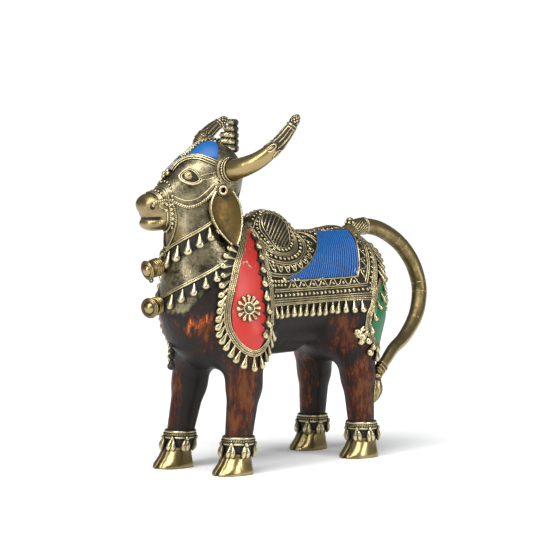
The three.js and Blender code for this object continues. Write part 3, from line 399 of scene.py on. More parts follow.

# %% [markdown]
# ## Finishes
# Metal that has been handled for years shows two things at once: bright brass where fingers reach, and dark
# dirt where they don't. One node group, called handled metal, makes that from the rise of each point and some
# noise, so that all finishes wear by the same rule, each with its own colours.
# On the tail and the pendant under the chest, the rise it reads carries painted highlight and shade, and the
# group paints that as well.

# %% A node group for handled metal
def linear(r, g, b):
    return tuple(((v / 255 + 0.055) / 1.055) ** 2.4 if v > 10 else v / 255 / 12.92
                 for v in (r, g, b)) + (1.0,)

class Sheet:
    """A short way to write nodes: each call adds one node and joins what it is given."""
    def __init__(self, tree):
        self.tree = tree

    def node(self, kind, values=(), **settings):
        made = self.tree.nodes.new(kind)
        for key, value in settings.items():
            setattr(made, key, value)
        for key, value in dict(values).items():
            if isinstance(value, bpy.types.NodeSocket):
                self.tree.links.new(value, made.inputs[key])
            else:
                made.inputs[key].default_value = value
        return made

    def sum(self, operation, a, b=0.5, c=None, clamp=False):
        values = {0: a, 1: b} if c is None else {0: a, 1: b, 2: c}
        return self.node("ShaderNodeMath", values, operation=operation, use_clamp=clamp).outputs[0]

    def mix(self, amount, a, b, blend="MIX"):
        made = self.node("ShaderNodeMix", {0: amount, 6: a, 7: b}, data_type="RGBA", blend_type=blend)
        return made.outputs[2]

    def noise(self, place, scale, detail=4.0, rough=0.55):
        return self.node("ShaderNodeTexNoise", {"Vector": place, "Scale": scale, "Detail": detail,
                                                "Roughness": rough}).outputs[0]

    def step(self, value, low, high):
        return self.node("ShaderNodeMapRange", {0: value, 1: low, 2: high, 3: 0.0, 4: 1.0}, clamp=True,
                         interpolation_type="SMOOTHSTEP").outputs[0]

def new_group(name, inputs, outputs):
    group = bpy.data.node_groups.new(name, "ShaderNodeTree")
    for label, kind, value in inputs:
        socket = group.interface.new_socket(label, in_out="INPUT", socket_type=kind)
        socket.default_value = value
    for label, kind in outputs:
        group.interface.new_socket(label, in_out="OUTPUT", socket_type=kind)
    sheet = Sheet(group)
    return group, sheet, sheet.node("NodeGroupInput"), sheet.node("NodeGroupOutput")

handled_metal, sheet, given, result = new_group("handled metal", [
    ("Rise", "NodeSocketFloat", 1.0), ("Dirt", "NodeSocketColor", linear(26, 24, 19)),
    ("Worn", "NodeSocketColor", linear(150, 132, 90)), ("Bright", "NodeSocketColor", linear(222, 202, 150)),
    ("Grime", "NodeSocketFloat", 0.4), ("Speckle", "NodeSocketFloat", 900.0),
], [("Color", "NodeSocketColor"), ("Roughness", "NodeSocketFloat"), ("Metallic", "NodeSocketFloat"),
    ("Height", "NodeSocketFloat")])
place = sheet.node("ShaderNodeTexCoord").outputs["Object"]
fine = sheet.noise(place, given.outputs["Speckle"], 3.0)
broad = sheet.noise(place, 110.0, 4.0)
uneven = sheet.sum("ADD", sheet.sum("MULTIPLY", sheet.sum("SUBTRACT", fine, 0.5), 0.5),
                   sheet.sum("MULTIPLY", sheet.sum("SUBTRACT", broad, 0.5), 0.55))
level = sheet.sum("ADD", given.outputs["Rise"], uneven)
clean = sheet.step(sheet.sum("SUBTRACT", level, given.outputs["Grime"]), 0.0, 0.28)
rubbed = sheet.step(sheet.sum("SUBTRACT", level, given.outputs["Grime"]), 0.22, 0.62)
metal = sheet.mix(rubbed, given.outputs["Worn"], given.outputs["Bright"])
sheet.tree.links.new(sheet.mix(clean, given.outputs["Dirt"], metal), result.inputs["Color"])
smoothing = sheet.sum("MULTIPLY", sheet.sum("ADD", clean, rubbed), 0.18)
sheet.tree.links.new(sheet.sum("SUBTRACT", 0.6, smoothing), result.inputs["Roughness"])
sheet.tree.links.new(sheet.sum("MULTIPLY_ADD", clean, 0.85, 0.15), result.inputs["Metallic"])
sheet.tree.links.new(sheet.sum("MULTIPLY_ADD", fine, 0.5, sheet.sum("MULTIPLY", broad, 0.5)),
                     result.inputs["Height"])
print("the group gives", [s.name for s in handled_metal.interface.items_tree if s.in_out == "OUTPUT"])

# %% Brass in its finishes
def new_material(name):
    material = bpy.data.materials.new(name)
    material.use_nodes = True
    material.node_tree.nodes.clear()
    sheet = Sheet(material.node_tree)
    return material, sheet

def close_material(sheet, color, roughness, metallic, height=None, bump=0.15, depth=0.0004, **plain):
    values = {"Base Color": color, "Roughness": roughness, "Metallic": metallic}
    if height is not None:
        values["Normal"] = sheet.node("ShaderNodeBump",
                                      {"Strength": bump, "Distance": depth, "Height": height}).outputs[0]
    shader = sheet.node("ShaderNodeBsdfPrincipled", values)
    for key, value in plain.items():
        shader.inputs[key].default_value = value
    sheet.node("ShaderNodeOutputMaterial", {"Surface": shader.outputs[0]})

def brass(name, dirt, worn, bright, grime, rough=0.0, speckle=900.0, bump=0.2):
    material, sheet = new_material(name)
    rise = sheet.node("ShaderNodeAttribute", attribute_name="rise").outputs["Fac"]
    wear = sheet.node("ShaderNodeGroup", node_tree=handled_metal)
    sheet.tree.links.new(rise, wear.inputs["Rise"])
    for key, value in (("Dirt", dirt), ("Worn", worn), ("Bright", bright), ("Grime", grime),
                       ("Speckle", speckle)):
        wear.inputs[key].default_value = value
    roughness = sheet.sum("ADD", wear.outputs["Roughness"], rough)
    close_material(sheet, wear.outputs["Color"], roughness, wear.outputs["Metallic"],
                   wear.outputs["Height"], bump)
    return material

relief_brass = brass("relief_brass", linear(20, 18, 14), linear(120, 108, 78), linear(212, 199, 158), 0.46)
polished_brass = brass("polished_brass", linear(44, 34, 18), linear(104, 90, 58), linear(160, 142, 98),
                       0.24, 0.04, 260.0, 0.9)
ear_brass = brass("ear_brass", linear(40, 30, 16), linear(98, 80, 44), linear(134, 112, 66), 0.1, 0.06,
                  300.0, 0.2)
print("brass finishes made:", relief_brass.name, polished_brass.name, ear_brass.name)

# %% [markdown]
# ## The body's own metal
# Below the ornament the casting was left to go brown-black. Legs and haunch are rubbed to copper in long
# uneven streaks. The head and neck were cleaned with a rag instead: dull silvery brass, with fine scratches
# and dark grime kept in between.

# %% Brown body and silvery neck
brown_patina, sheet = new_material("brown_patina")
place = sheet.node("ShaderNodeTexCoord").outputs["Object"]
stretched = sheet.node("ShaderNodeMapping", {"Vector": place, "Scale": (1.0, 1.0, 0.34),
                                             "Rotation": (0.25, 0.1, 0.0)}).outputs[0]
rub = sheet.node("ShaderNodeAttribute", attribute_name="rub").outputs["Fac"]
grime_and_shade = sheet.node("ShaderNodeAttribute", attribute_name="grime_and_shade").outputs["Fac"]
cloud = sheet.noise(stretched, 60.0, 6.0, 0.62)
streak = sheet.noise(stretched, 210.0, 7.0, 0.74)
fleck = sheet.noise(place, 900.0, 3.0, 0.7)
warm = sheet.step(sheet.sum("ADD", sheet.sum("MULTIPLY_ADD", rub, 0.55, sheet.sum("MULTIPLY", cloud, 0.75)),
                            sheet.sum("MULTIPLY", sheet.sum("SUBTRACT", streak, 0.5), 1.5)), 0.5, 0.86)
# The brightest pale-orange streaks on the rubbed copper are painted highlights.
highlight_streak_level = sheet.sum("ADD", sheet.sum("MULTIPLY", streak, 0.7),
                      sheet.sum("MULTIPLY_ADD", warm, 0.42, sheet.sum("MULTIPLY", fleck, 0.3)))
highlight_streak = sheet.step(highlight_streak_level, 0.78, 1.05)
skin_color = sheet.mix(warm, linear(30, 18, 13), linear(188, 80, 26))
skin_color = sheet.mix(highlight_streak, skin_color, linear(244, 150, 84))
skin_color = sheet.mix(sheet.step(fleck, 0.56, 0.7), skin_color, linear(22, 14, 11))
# The dirt-and-shade mask darkens the skin: dirt under ornament and in creases, painted shade under the belly.
skin_color = sheet.mix(grime_and_shade, skin_color, linear(18, 15, 13))
gloss = sheet.sum("SUBTRACT", 0.36, sheet.sum("MULTIPLY", warm, 0.08))
metal_share = sheet.sum("MULTIPLY_ADD", warm, 0.5, 0.1)
streaks_and_flecks = sheet.sum("MULTIPLY_ADD", streak, 0.3, sheet.sum("MULTIPLY", fleck, -0.15))
worked = sheet.sum("MULTIPLY_ADD", cloud, 0.6, streaks_and_flecks)
varnish = {"Coat Weight": 0.1, "Coat Roughness": 0.2, "Specular IOR Level": 0.25}
close_material(sheet, skin_color, sheet.sum("MULTIPLY_ADD", grime_and_shade, 0.2, gloss), metal_share, worked, 0.9,
               0.002, **varnish)

aged_silver, sheet = new_material("aged_silver_brass")
place = sheet.node("ShaderNodeTexCoord").outputs["Object"]
rub = sheet.node("ShaderNodeAttribute", attribute_name="rub").outputs["Fac"]
grime_and_shade = sheet.node("ShaderNodeAttribute", attribute_name="grime_and_shade").outputs["Fac"]
brushed = sheet.node("ShaderNodeMapping", {"Vector": place, "Scale": (1.0, 0.22, 1.0),
                                           "Rotation": (-0.5, 0.0, 0.3)}).outputs[0]
scratch = sheet.noise(brushed, 1100.0, 4.0, 0.6)
cloud = sheet.noise(place, 90.0, 7.0, 0.68)
shade = sheet.sum("ADD", sheet.sum("MULTIPLY", scratch, 0.35), sheet.sum("MULTIPLY", cloud, 0.85))
tone = sheet.mix(sheet.step(shade, 0.44, 0.76), linear(60, 54, 41), linear(158, 148, 118))
tone = sheet.mix(rub, tone, sheet.mix(sheet.step(shade, 0.4, 0.8), linear(118, 102, 68),
                                      linear(166, 148, 108)))
grime = sheet.step(sheet.sum("ADD", grime_and_shade, sheet.sum("MULTIPLY", sheet.sum("SUBTRACT", cloud, 0.5), 0.9)),
                   0.3, 0.85)
tone = sheet.mix(grime, tone, linear(20, 18, 15))
rough_here = sheet.sum("ADD", sheet.sum("MULTIPLY_ADD", scratch, 0.14, 0.24),
                       sheet.sum("MULTIPLY", grime, 0.25))
close_material(sheet, tone, rough_here, sheet.sum("MULTIPLY_ADD", grime, -0.6, 0.95),
               sheet.sum("MULTIPLY_ADD", scratch, 0.12, cloud), 0.42, 0.0012)
print("skin finishes made:", brown_patina.name, aged_silver.name)

# %% [markdown]
# ## Turning the field into a mesh
# A grid of small boxes is laid through the field. Each box that the skin passes through gets one point,
# moved exactly onto the skin, and neighbouring points are joined by four-sided faces. This method, surface
# nets, gives an even mesh that shades smoothly.

# %% Surface nets
CORNERS = [(i, j, k) for i in (0, 1) for j in (0, 1) for k in (0, 1)]
BOX_EDGES = [(a, b) for a in CORNERS for b in CORNERS if a < b
             and sum(abs(p - q) for p, q in zip(a, b)) == 1]

def nets(low, high, step):
    counts = [int(math.ceil((h - l) / step)) + 1 for l, h in zip(low, high)]
    axes = [(l + step * np.arange(n)).astype(np.float32) for l, n in zip(low, counts)]
    field = np.concatenate([skin(*np.meshgrid(axes[0][i:i + 12], axes[1], axes[2],
                                              indexing="ij")).astype(np.float32)
                            for i in range(0, counts[0], 12)])
    inside = field < 0
    cut = (slice(0, -1), slice(1, None))
    held = sum(inside[cut[i], cut[j], cut[k]].astype(np.int8) for i, j, k in CORNERS)
    cells = np.argwhere((held > 0) & (held < 8))
    index = np.full(held.shape, -1, np.int64)
    index[tuple(cells.T)] = np.arange(len(cells))
    total, hits = np.zeros((len(cells), 3)), np.zeros(len(cells))
    for a, b in BOX_EDGES:
        fa, fb = field[tuple((cells + a).T)], field[tuple((cells + b).T)]
        cross = (fa < 0) != (fb < 0)
        t = (fa / (fa - fb + 1e-12))[cross]
        total[cross] += cells[cross] + a + t[:, None] * (np.array(b) - a)
        hits[cross] += 1
    points = settle(np.array(low) + step * total / hits[:, None])[0]
    quads = []
    for axis in range(3):
        first = [slice(None)] * 3
        second = [slice(None)] * 3
        first[axis], second[axis] = slice(0, -1), slice(1, None)
        here = inside[tuple(first)]
        places = np.argwhere(here != inside[tuple(second)])
        p, q = [i for i in range(3) if i != axis]
        corners = []
        for dp, dq in ((1, 1), (0, 1), (0, 0), (1, 0)):
            moved = places.copy()
            moved[:, p] -= dp
            moved[:, q] -= dq
            corners.append(index[tuple(moved.T)])
        faces = np.stack(corners, 1)
        flip = here[tuple(places.T)] ^ (axis == 1)
        faces[~flip] = faces[~flip][:, ::-1]
        quads.append(faces)
    return points, np.vstack(quads)

SKIN_STEP = 1.25
skin_points, skin_faces = nets((-60, -130, 0), (60, 122, 254), SKIN_STEP)
print("skin mesh:", len(skin_points), "points,", len(skin_faces), "faces")

# %% [markdown]
# ## Two pieces of skin
# The neck's silvery metal meets the brown body along the front edge of the shoulder leaf and across the
# chest. The mesh is parted there, and the rope of the leaf later covers the join. Two masks are kept on the
# points: rub, where hands have passed, and a dirt-and-shade mask, where dirt has gathered under ornament and
# in creases and where painted shade darkens the underside of the belly.

# %% Part the skin at the shoulder and chest
LEAF_FRONT = [(-28, 0), (-31, 5), (-47, 24), (-61.8, 37), (-70.3, 53), (-76.5, 73), (-79.8, 98), (-79, 112),
              (-84, 124), (-90, 140)]
CHEST_LINE = 117.0

def chest_line(turn):
    ragged = 0.9 * np.sin(turn * 0.9) + 0.6 * np.sin(turn * 2.3 + 1)
    return CHEST_LINE + np.interp(np.abs(turn - 2), [0, 20, 34, 50, 70], [0, 0, 11, 22, 30]) + ragged

def is_neck(p):
    x, y, z = p.T
    edge = np.interp(angle_round(x, z), [a for _, a in LEAF_FRONT], [y for y, _ in LEAF_FRONT])
    return (y < edge) & (z > chest_line(angle_at_throat(x, y)))

def bump_at(p, centre, size):
    return np.exp(-(((p - np.array(centre, float)) / np.array(size, float)) ** 2).sum(1))

neck_side = is_neck(skin_points[skin_faces].mean(1))
RUBBED = [((0, 40, 106), (26, 12, 7), 0.85), ((0, 49, 93), (26, 11, 14), 1.0),
          ((0, 60, 78), (26, 10, 14), 0.8),
          ((0, -92, 106), (18, 14, 12), 0.7), ((0, -86, 96), (14, 14, 10), 0.65)]
rub = np.zeros(len(skin_points))
for leg in LEGS:
    shin = np.array(leg["knee"]) * (1.2, 1, 1) - (0, 7, 4)
    rub = np.maximum(rub, bump_at(skin_points, shin, (14, 14, 34)))
    rub = np.maximum(rub, 0.9 * bump_at(skin_points, (leg["foot"][0] * 1.15, leg["foot"][1] - 7, 36),
                                        (11, 11, 18)))
for side in (1, -1):
    for (_, y, z), size, share in RUBBED:
        at = drape((0, y, z), (side, 0, 0))[0][0]
        rub = np.maximum(rub, share * bump_at(skin_points, at, size))
skin_out = outward(skin_points)
pocket = np.clip((1.35 - skin(*(skin_points + 1.6 * skin_out).T)) / 0.5, 0, 1)
hollow = np.clip((4.2 - skin(*(skin_points + 5 * skin_out).T)) / 1.6, 0, 1)
x, y, z = skin_points.T
turn = angle_at_throat(x, y)
grime_and_shade = np.maximum(0.9 * pocket, 0.5 * hollow)
for low, deep in ((160, 14), (126, 12)):
    under = low + 0.3 * np.abs(turn + 20) - z
    grime_and_shade = np.maximum(grime_and_shade, 0.8 * np.clip((under + 1.5) / 2, 0, 1) * np.clip((deep + 3 - under) / 6, 0, 1)
                      * (y < -40))
to_leaf = np.interp(angle_round(x, z), [a for _, a in LEAF_FRONT], [b for b, _ in LEAF_FRONT]) - y
grime_and_shade = np.maximum(grime_and_shade, 0.85 * np.clip((11 - to_leaf) / 5, 0, 1) * (z < 215))
grime_and_shade = np.maximum(grime_and_shade, 0.7 * np.clip((5 - np.abs(z - chest_line(turn))) / 4, 0, 1) * (y < -40) * (z < 160))
# Darker towards the underside of the belly: painted shade.
belly_shade = np.clip((105 - z) / 20, 0, 1) * np.clip((26 - np.abs(x)) / 20, 0, 1)
grime_and_shade = np.maximum(grime_and_shade, 0.5 * belly_shade)

def skin_piece(name, chosen, material):
    faces = skin_faces[chosen]
    used, new = np.unique(faces, return_inverse=True)
    bench = Bench()
    bench.add(skin_points[used], 0.6, new.reshape(-1, 4))
    piece = make_piece(name, bench, material)
    for key, values in (("rub", rub), ("grime_and_shade", grime_and_shade)):
        piece.data.attributes.new(key, "FLOAT", "POINT").data.foreach_set("value", values[used])

muzzle = unit(from_head(0, -44, 190) - FACE_CORE)
toward_nose = (skin_points - FACE_CORE) @ muzzle
rub_head = np.clip((toward_nose - 25) / 6, 0, 1)
rub = np.where(skin_points[:, 2] > 170, rub_head, rub)
skin_piece("body_and_legs", ~neck_side, brown_patina)
skin_piece("head_and_neck", neck_side, aged_silver)

# %% [markdown]
# ## Hooves and anklets
# Each hoof is a block of wax pared to shape: a flat sole, a toe pushed forward, a wall leaning back and a
# cleft in front. Rings of points are stacked from sole to fetlock, with the cleft as a narrow dent. Above
# sits an anklet: a rope between two threads round a collar, and seven buds hanging over the hoof, each with
# a bead on top.

# %% Hooves
def hoof(bench, leg):
    x, y = leg["foot"][:2]
    heights = [0, 0.5, 1.4, 3, 5.5, 8.3, 11, 13.2, 15.4]
    wide = np.interp(heights, [0, 0.5, 2.4, 8.3, 15], [12.2, 12.5, 12.7, 11, 9.9])
    toe = np.interp(heights, [0, 0.5, 2.4, 8.3, 15], [20.1, 20.5, 20.2, 14.7, 10.3])
    heel = np.interp(heights, [0, 0.5, 2.4, 8.3, 15], [9.3, 9.6, 9.8, 9.6, 9.3])
    cleft = np.interp(heights, [0, 2.4, 8.3, 15], [4.6, 4.2, 2.6, 1.2])
    sides = 64
    a = 2 * np.pi * np.arange(sides) / sides
    a = a - 0.55 * np.sin(a) * np.exp(-(np.minimum(a, 2 * np.pi - a) / 0.7) ** 2)
    near = np.minimum(a, 2 * np.pi - a)
    rings, rises = [], []
    for i, z in enumerate(heights):
        square = 1 + 0.07 * np.sin(2 * a) ** 2
        dent = cleft[i] * 0.8 * np.exp(-(near / 0.06) ** 2) - 0.6 * np.exp(-((near - 0.15) / 0.06) ** 2)
        reach = np.where(np.cos(a) > 0, toe[i], heel[i]) * square
        ring_x, ring_y = x + wide[i] * square * np.sin(a), y - reach * np.cos(a) + dent
        rings.append(np.stack([ring_x, ring_y, 0 * a + z], 1))
        rises.append(0.95 - 0.95 * np.exp(-(near / 0.11) ** 2) - (0.35 if z < 0.6 or z > 13 else 0))
    points = np.vstack(rings + [[[x, y - 3, 0]], [[x, y, 15.4]]])
    k = np.arange(sides)
    m = (k + 1) % sides
    end = (len(heights) - 1) * sides
    caps = np.vstack([np.stack([0 * k + len(points) - 2, m, k], 1),
                      np.stack([0 * k + len(points) - 1, end + k, end + m], 1)])
    quads = stitch_rings(len(heights), sides, False)
    bench.add(points, np.clip(np.concatenate([np.concatenate(rises), [0.3, 0.3]]), 0, 1), quads, caps)

hooves = Bench()
for leg in LEGS:
    hoof(hooves, leg)
make_piece("hooves", hooves, polished_brass)

# %% Anklets
BUD_SHAPE = [(0.0, 0.25), (0.12, 0.55), (0.3, 0.8), (0.52, 1.0), (0.72, 0.95), (0.88, 0.66), (0.97, 0.34),
             (1.0, 0.1)]

def anklet(bench, leg, seed):
    wobble = np.random.default_rng(seed)
    low = np.array(leg["foot"], float)
    lean = np.array(leg["knee"], float) - low
    axis = lambda z: low + lean * (z - low[2]) / lean[2]
    sleeve = [(z - 24.5, r) for z, r in ((15.2, 10.2), (16, 11), (19, 11.2), (22, 11.1), (24, 11.3),
                                         (27.4, 11), (27.9, 9.6))]
    turned(bench, axis(24.5), (0, 0, 1), sleeve, 32, [0.35, 0.3, 0.1, 0.1, 0.1, 0.3, 0.5], (1, 0, 0))
    a = np.linspace(0, 2 * np.pi, 96, endpoint=False)
    out = rows(np.sin(a), -np.cos(a), 0)
    for z, radius, thick, twist in ((26.6, 11.0, 1.15, 0.0), (24.7, 11.3, 1.4, 0.3),
                                    (22.5, 11.35, 1.0, 0.0)):
        lay(bench, axis(z) + out * radius, out, thick, 8, twist, 0.3 if twist else 0, closed=True)
    for k in range(7):
        a = 2 * np.pi * (k + 0.5) / 7 + wobble.normal(0, 0.03)
        out = np.array([math.sin(a), -math.cos(a), 0])
        side_way = np.array([math.cos(a), math.sin(a), 0])
        bead(bench, axis(22.2) + out * 12.3, out, 1.95)
        for shift, wide, proud in ((-2.4, 4.2, 0.0), (2.4, 4.2, 0.0), (0.0, 2.6, -0.6)):
            root = axis(21.6) + out * (11.9 + proud) + side_way * shift * 0.25
            end = axis(12.6 + wobble.normal(0, 0.25)) + out * (12.0 + proud) + side_way * shift * 0.7
            middle = root + (end - root) * 0.5 + side_way * shift * 0.45 + out * 0.5
            t = np.array([s[0] for s in BUD_SHAPE])[:, None]
            at = root * (1 - t) ** 2 + 2 * middle * t * (1 - t) + end * t ** 2
            bud_radius = wide / 2 * np.array([s[1] for s in BUD_SHAPE])
            lay(bench, at, np.broadcast_to(out, at.shape), bud_radius, 8)

anklets = Bench()
for n, leg in enumerate(LEGS):
    anklet(anklets, leg, 40 + n)
make_piece("anklets", anklets, relief_brass)

# %% [markdown]
# ## Tail
# The tail leaves the croup inside a collar of wrapped threads, swings clear of the body and comes back to
# the left hind leg, where it ends in a ringed collar and a leaf-shaped tuft. One curve carries it all.

# %% Tail
TAIL_SWING = np.array([
    (0, 76, 166), (0, 90, 172), (0, 104, 174.8), (2, 121.5, 171.6), (4, 140.7, 161.1), (7, 153, 146.5),
    (10, 158.1, 130.4), (13, 156, 117.1), (18, 145.4, 102), (24, 125.5, 87.8), (29, 106.8, 79.9),
    (32.5, 94.2, 72), (35, 81, 63)])
tail_line = smooth(TAIL_SWING, 14)
tail_line, _ = evenly(tail_line, tail_line, 1.2)
gone = np.linspace(0, 1, len(tail_line))
tail_out = np.broadcast_to((1.0, 0.2, 0.3), tail_line.shape)
tail_radius = 6.1 + (3.8 - 6.1) * np.clip((gone - 0.6) / 0.4, 0, 1)
tail_along = frames_along(tail_line, tail_out)[0]

def tail_ring(bench, share, extra, thick):
    i = int(round(share * (len(tail_line) - 1)))
    way = tail_along[i]
    across = unit(np.cross(way, (0, 0, 1)))
    up = np.cross(across, way)
    a = np.linspace(0, 2 * np.pi, 40, endpoint=False)[:, None]
    out = across * np.cos(a) + up * np.sin(a)
    lay(bench, tail_line[i] + out * (tail_radius[i] + extra), out, thick, 6, closed=True)

TAIL_SIDES = 28
tail = Bench()
band = 1 + 0.016 * np.sin(gone * 9)
lay(tail, tail_line, tail_out, tail_radius * band, TAIL_SIDES)
# The tail's rise is set higher on the outer side of its loop and lower on the inner side: painted highlight
# outside and painted shade inside.
loop_out = unit(tail_line - np.array([8.0, 100, 122]))
around_line = unit(tail.points[0][:-2].reshape(len(tail_line), TAIL_SIDES, 3) - tail_line[:, None])
outer_highlight_side = (around_line * loop_out[:, None]).sum(-1)
tail.rise[0] = np.concatenate([(0.72 + 0.26 * outer_highlight_side).ravel(), [0.6, 0.6]])
for share in (0.30, 0.345, 0.5, 0.535, 0.66):
    tail_ring(tail, share, -0.42, 0.55)
for share in (0.955, 0.972, 0.989):
    tail_ring(tail, share, 0.2, 0.85)
tuft_way = unit(np.array([1.0, -4, -22]))
tuft = [(-0.3, 3.6), (0.8, 4.7), (2.6, 4.9), (3.6, 3.9), (5.2, 3.9), (8, 5.0), (12, 5.6), (15.5, 4.9),
        (18.5, 3.5), (21.0, 1.9), (22.3, 0.5)]
turned(tail, tail_line[-1], tuft_way, tuft, 24, [0.3, 0.9, 0.9, 0.2, 0.3, 0.6, 0.7, 0.7, 0.7, 0.8, 0.9],
       (0.6, 0.8, 0))
make_piece("tail", tail, polished_brass)

# %% Tail collar, knob and tuft leaves
tail_trim = Bench()
start = int(0.14 * (len(tail_line) - 1))
for n in range(20):
    sweep = np.linspace(0, 1, 22)
    i = np.interp(sweep, [0, 1], [start - 13.5, start]).round().astype(int)
    angle = 2 * np.pi * n / 20 + 0.9 * sweep
    way = tail_along[i]
    across = unit(np.cross(way, (0, 0, 1.0)))
    up = np.cross(across, way)
    out = across * np.cos(angle)[:, None] + up * np.sin(angle)[:, None]
    swell = tail_radius[i] - 0.1 + 0.35 * np.sin(np.pi * sweep) ** 0.7
    lay(tail_trim, tail_line[i] + out * swell[:, None], out, 0.55, 6)
for share, thick in ((0.14, 0.7), (0.13, 0.5)):
    tail_ring(tail_trim, share, 0.3, thick)
bead(tail_trim, (0, 88.7, 178.9), (0, 0, 1), 3.2, sides=14, bands=9)
a = np.linspace(0, 2 * np.pi, 6, endpoint=False)
bead(tail_trim, rows(2.9 * np.cos(a), 88.7 + 2.9 * np.sin(a), 177.6), rows(np.cos(a), np.sin(a), 0.6), 1.35)
across = unit(np.cross(tuft_way, (0.2, 1, 0)))
up = np.cross(across, tuft_way)
for n in range(9):
    angle = 2 * np.pi * n / 9
    out = across * math.cos(angle) + up * math.sin(angle)
    t = np.linspace(4.4, 21.5, 14)
    radius = np.interp(t, [p for p, _ in tuft], [r for _, r in tuft]) - 0.1
    lay(tail_trim, tail_line[-1] + tuft_way * t[:, None] + out * radius[:, None],
        np.broadcast_to(out, (14, 3)), 0.75 * np.sin(np.pi * np.linspace(0.12, 0.95, 14)), 6)
make_piece("tail_collar_and_leaves", tail_trim, relief_brass)

# %% [markdown]
# ## Horns, ears and crest
# Horns curve out and up from ringed collars to acorn tips. The ears hang like dished leaves beside the
# cheeks. Between the horns stands a crest of shrinking tiers with a bead behind each tier.

# %% Horns
LEFT_SWEEP = [(16, 6, 220), (30, 11, 222), (43, 20, 228), (51, 30, 238), (54.5, 38, 248.5),
              (56, 43.5, 257.5)]
RIGHT_SWEEP = [(16, 6, 220), (29, 10, 224), (39, 15, 231.5), (47, 18.5, 241), (52.5, 29.5, 249.5),
               (56, 42.5, 257)]

def ring_round(bench, centre, way, radius, thick, twist=0.0, count=40):
    way = unit(np.asarray(way, float))
    across = unit(np.cross(way, (0.1, 0.2, 1)))
    up = np.cross(across, way)
    a = np.linspace(0, 2 * np.pi, count, endpoint=False)[:, None]
    out = across * np.cos(a) + up * np.sin(a)
    lay(bench, centre + out * radius, out, thick, 6, twist, 0.3 if twist else 0, closed=True)
    return centre + out * radius, out

HORN_SIDES = 28

def horn(shaft, trim, side):
    line = smooth([from_head(side * u, v, z) for u, v, z in (LEFT_SWEEP if side > 0 else RIGHT_SWEEP)], 10)
    line, _ = evenly(line, line, 1.1)
    t = np.linspace(0, 1, len(line))
    radius = 8.4 - (8.4 - 3.1) * t ** 1.15
    way = frames_along(line, np.broadcast_to((0, 0, 1.0), line.shape))[0]
    body = slice(0, int(len(line) * 0.97))
    lay(shaft, line[body], np.broadcast_to((0.0, 0, 1), line[body].shape), radius[body], HORN_SIDES)
    rubbed = np.interp(t[body], [0, 0.3, 0.62, 0.66, 1], [0.8, 0.9, 0.85, 0.1, 0.05])
    shaft.rise[-1] = np.repeat(rubbed, HORN_SIDES).tolist() + [0.3, 0.3]
    at = lambda k: int(round(k * (len(line) - 1)))
    for k, extra, thick in ((0.0, 0.9, 0.9), (0.022, 1.1, 0.85), (0.044, 1.1, 0.8), (0.066, 1.0, 0.8),
                            (0.125, 0.5, 0.8)):
        ring_round(trim, line[at(k)], way[at(k)], radius[at(k)] + extra, thick, 0, 48)
    seats, outs = ring_round(trim, line[at(0.096)], way[at(0.096)], radius[at(0.096)] + 0.5, 0.8, 0, 30)
    bead(trim, seats, outs, 1.15)
    across = unit(np.cross(way, (0.1, 0.2, 1)))
    up = np.cross(across, way)
    def spoke(i, turn):
        i = np.atleast_1d(i)
        out = across[i] * np.cos(turn)[:, None] + up[i] * np.sin(turn)[:, None]
        return line[i] + out * (radius[i] + 0.1)[:, None], out
    for n in range(5):
        turn = 2 * np.pi * n / 5
        i = np.arange(at(0.58), at(0.70))
        s = np.linspace(-1, 1, len(i))
        for bulge in (1, -1):
            lay(trim, *spoke(i, turn + bulge * 0.36 * np.sqrt(np.clip(1 - s * s, 0, 1))), 0.55, 6)
        lay(trim, *spoke(i[2:-2], turn + 0 * s[2:-2]), 0.4, 6)
        i = np.arange(at(0.66), at(0.93))
        lay(trim, *spoke(i, turn + 0.63 + 0 * i),
            0.75 * np.sin(np.pi * np.linspace(0.08, 0.9, len(i))) ** 0.5, 6)
        i = np.arange(at(0.71), at(0.93))
        lay(trim, *spoke(i, turn + 0 * i), 0.45, 6)
    for k, thick in ((0.90, 0.6), (0.925, 0.95)):
        ring_round(trim, line[at(k)], way[at(k)], 3.5, thick, 0, 36)
    tip = [(-4.4, 2.8), (-3.6, 3.2), (-2.6, 3.55), (-0.8, 3.6), (1.0, 3.2), (2.6, 2.3), (3.6, 1.3),
           (4.1, 0.3)]
    turned(trim, line[-1] - way[-1] * 0.2, way[-1], tip, 20, [0.2, 0.3, 0.35, 0.4, 0.5, 0.6, 0.8, 0.9])
    for row, (up_by, wide) in enumerate(((-2.4, 3.5), (-0.9, 3.55), (0.6, 3.25), (1.9, 2.6))):
        a = 2 * np.pi * (np.arange(8) + 0.5 * (row % 2)) / 8
        ring = across[-1] * np.cos(a)[:, None] + up[-1] * np.sin(a)[:, None]
        bead(trim, line[-1] + way[-1] * (up_by - 0.2) + ring * (wide - 0.35),
             unit(ring + way[-1] * 0.3 * row), 0.9, 0.7)

horns, horn_trim = Bench(), Bench()
for side in (1, -1):
    horn(horns, horn_trim, side)
make_piece("horns", horns, polished_brass)
make_piece("horn_collars_and_tips", horn_trim, relief_brass)

# %% Ears
def ear_shape(side):
    root = np.array([23.6, 2, 207])
    tip = np.array([33.4, 5.5, 167])
    place = lambda u, v, z: from_head(side * u, v, z)
    half = lambda t: 12.5 * np.sin(np.pi * np.minimum(1, 0.09 + t * 0.88) ** 0.86) ** 0.8
    def spot(t, k, proud):
        middle = root + (tip - root) * np.asarray(t, float)[..., None]
        wide = half(t)
        dish = np.minimum(1, wide / 8)
        hollow = 2.4 * (1 - k * k) * dish
        across = middle[..., 1] + wide * k - 1.8 * np.sin(np.pi * np.asarray(t, float))
        return place(middle[..., 0] + proud - hollow, across, middle[..., 2])
    return spot

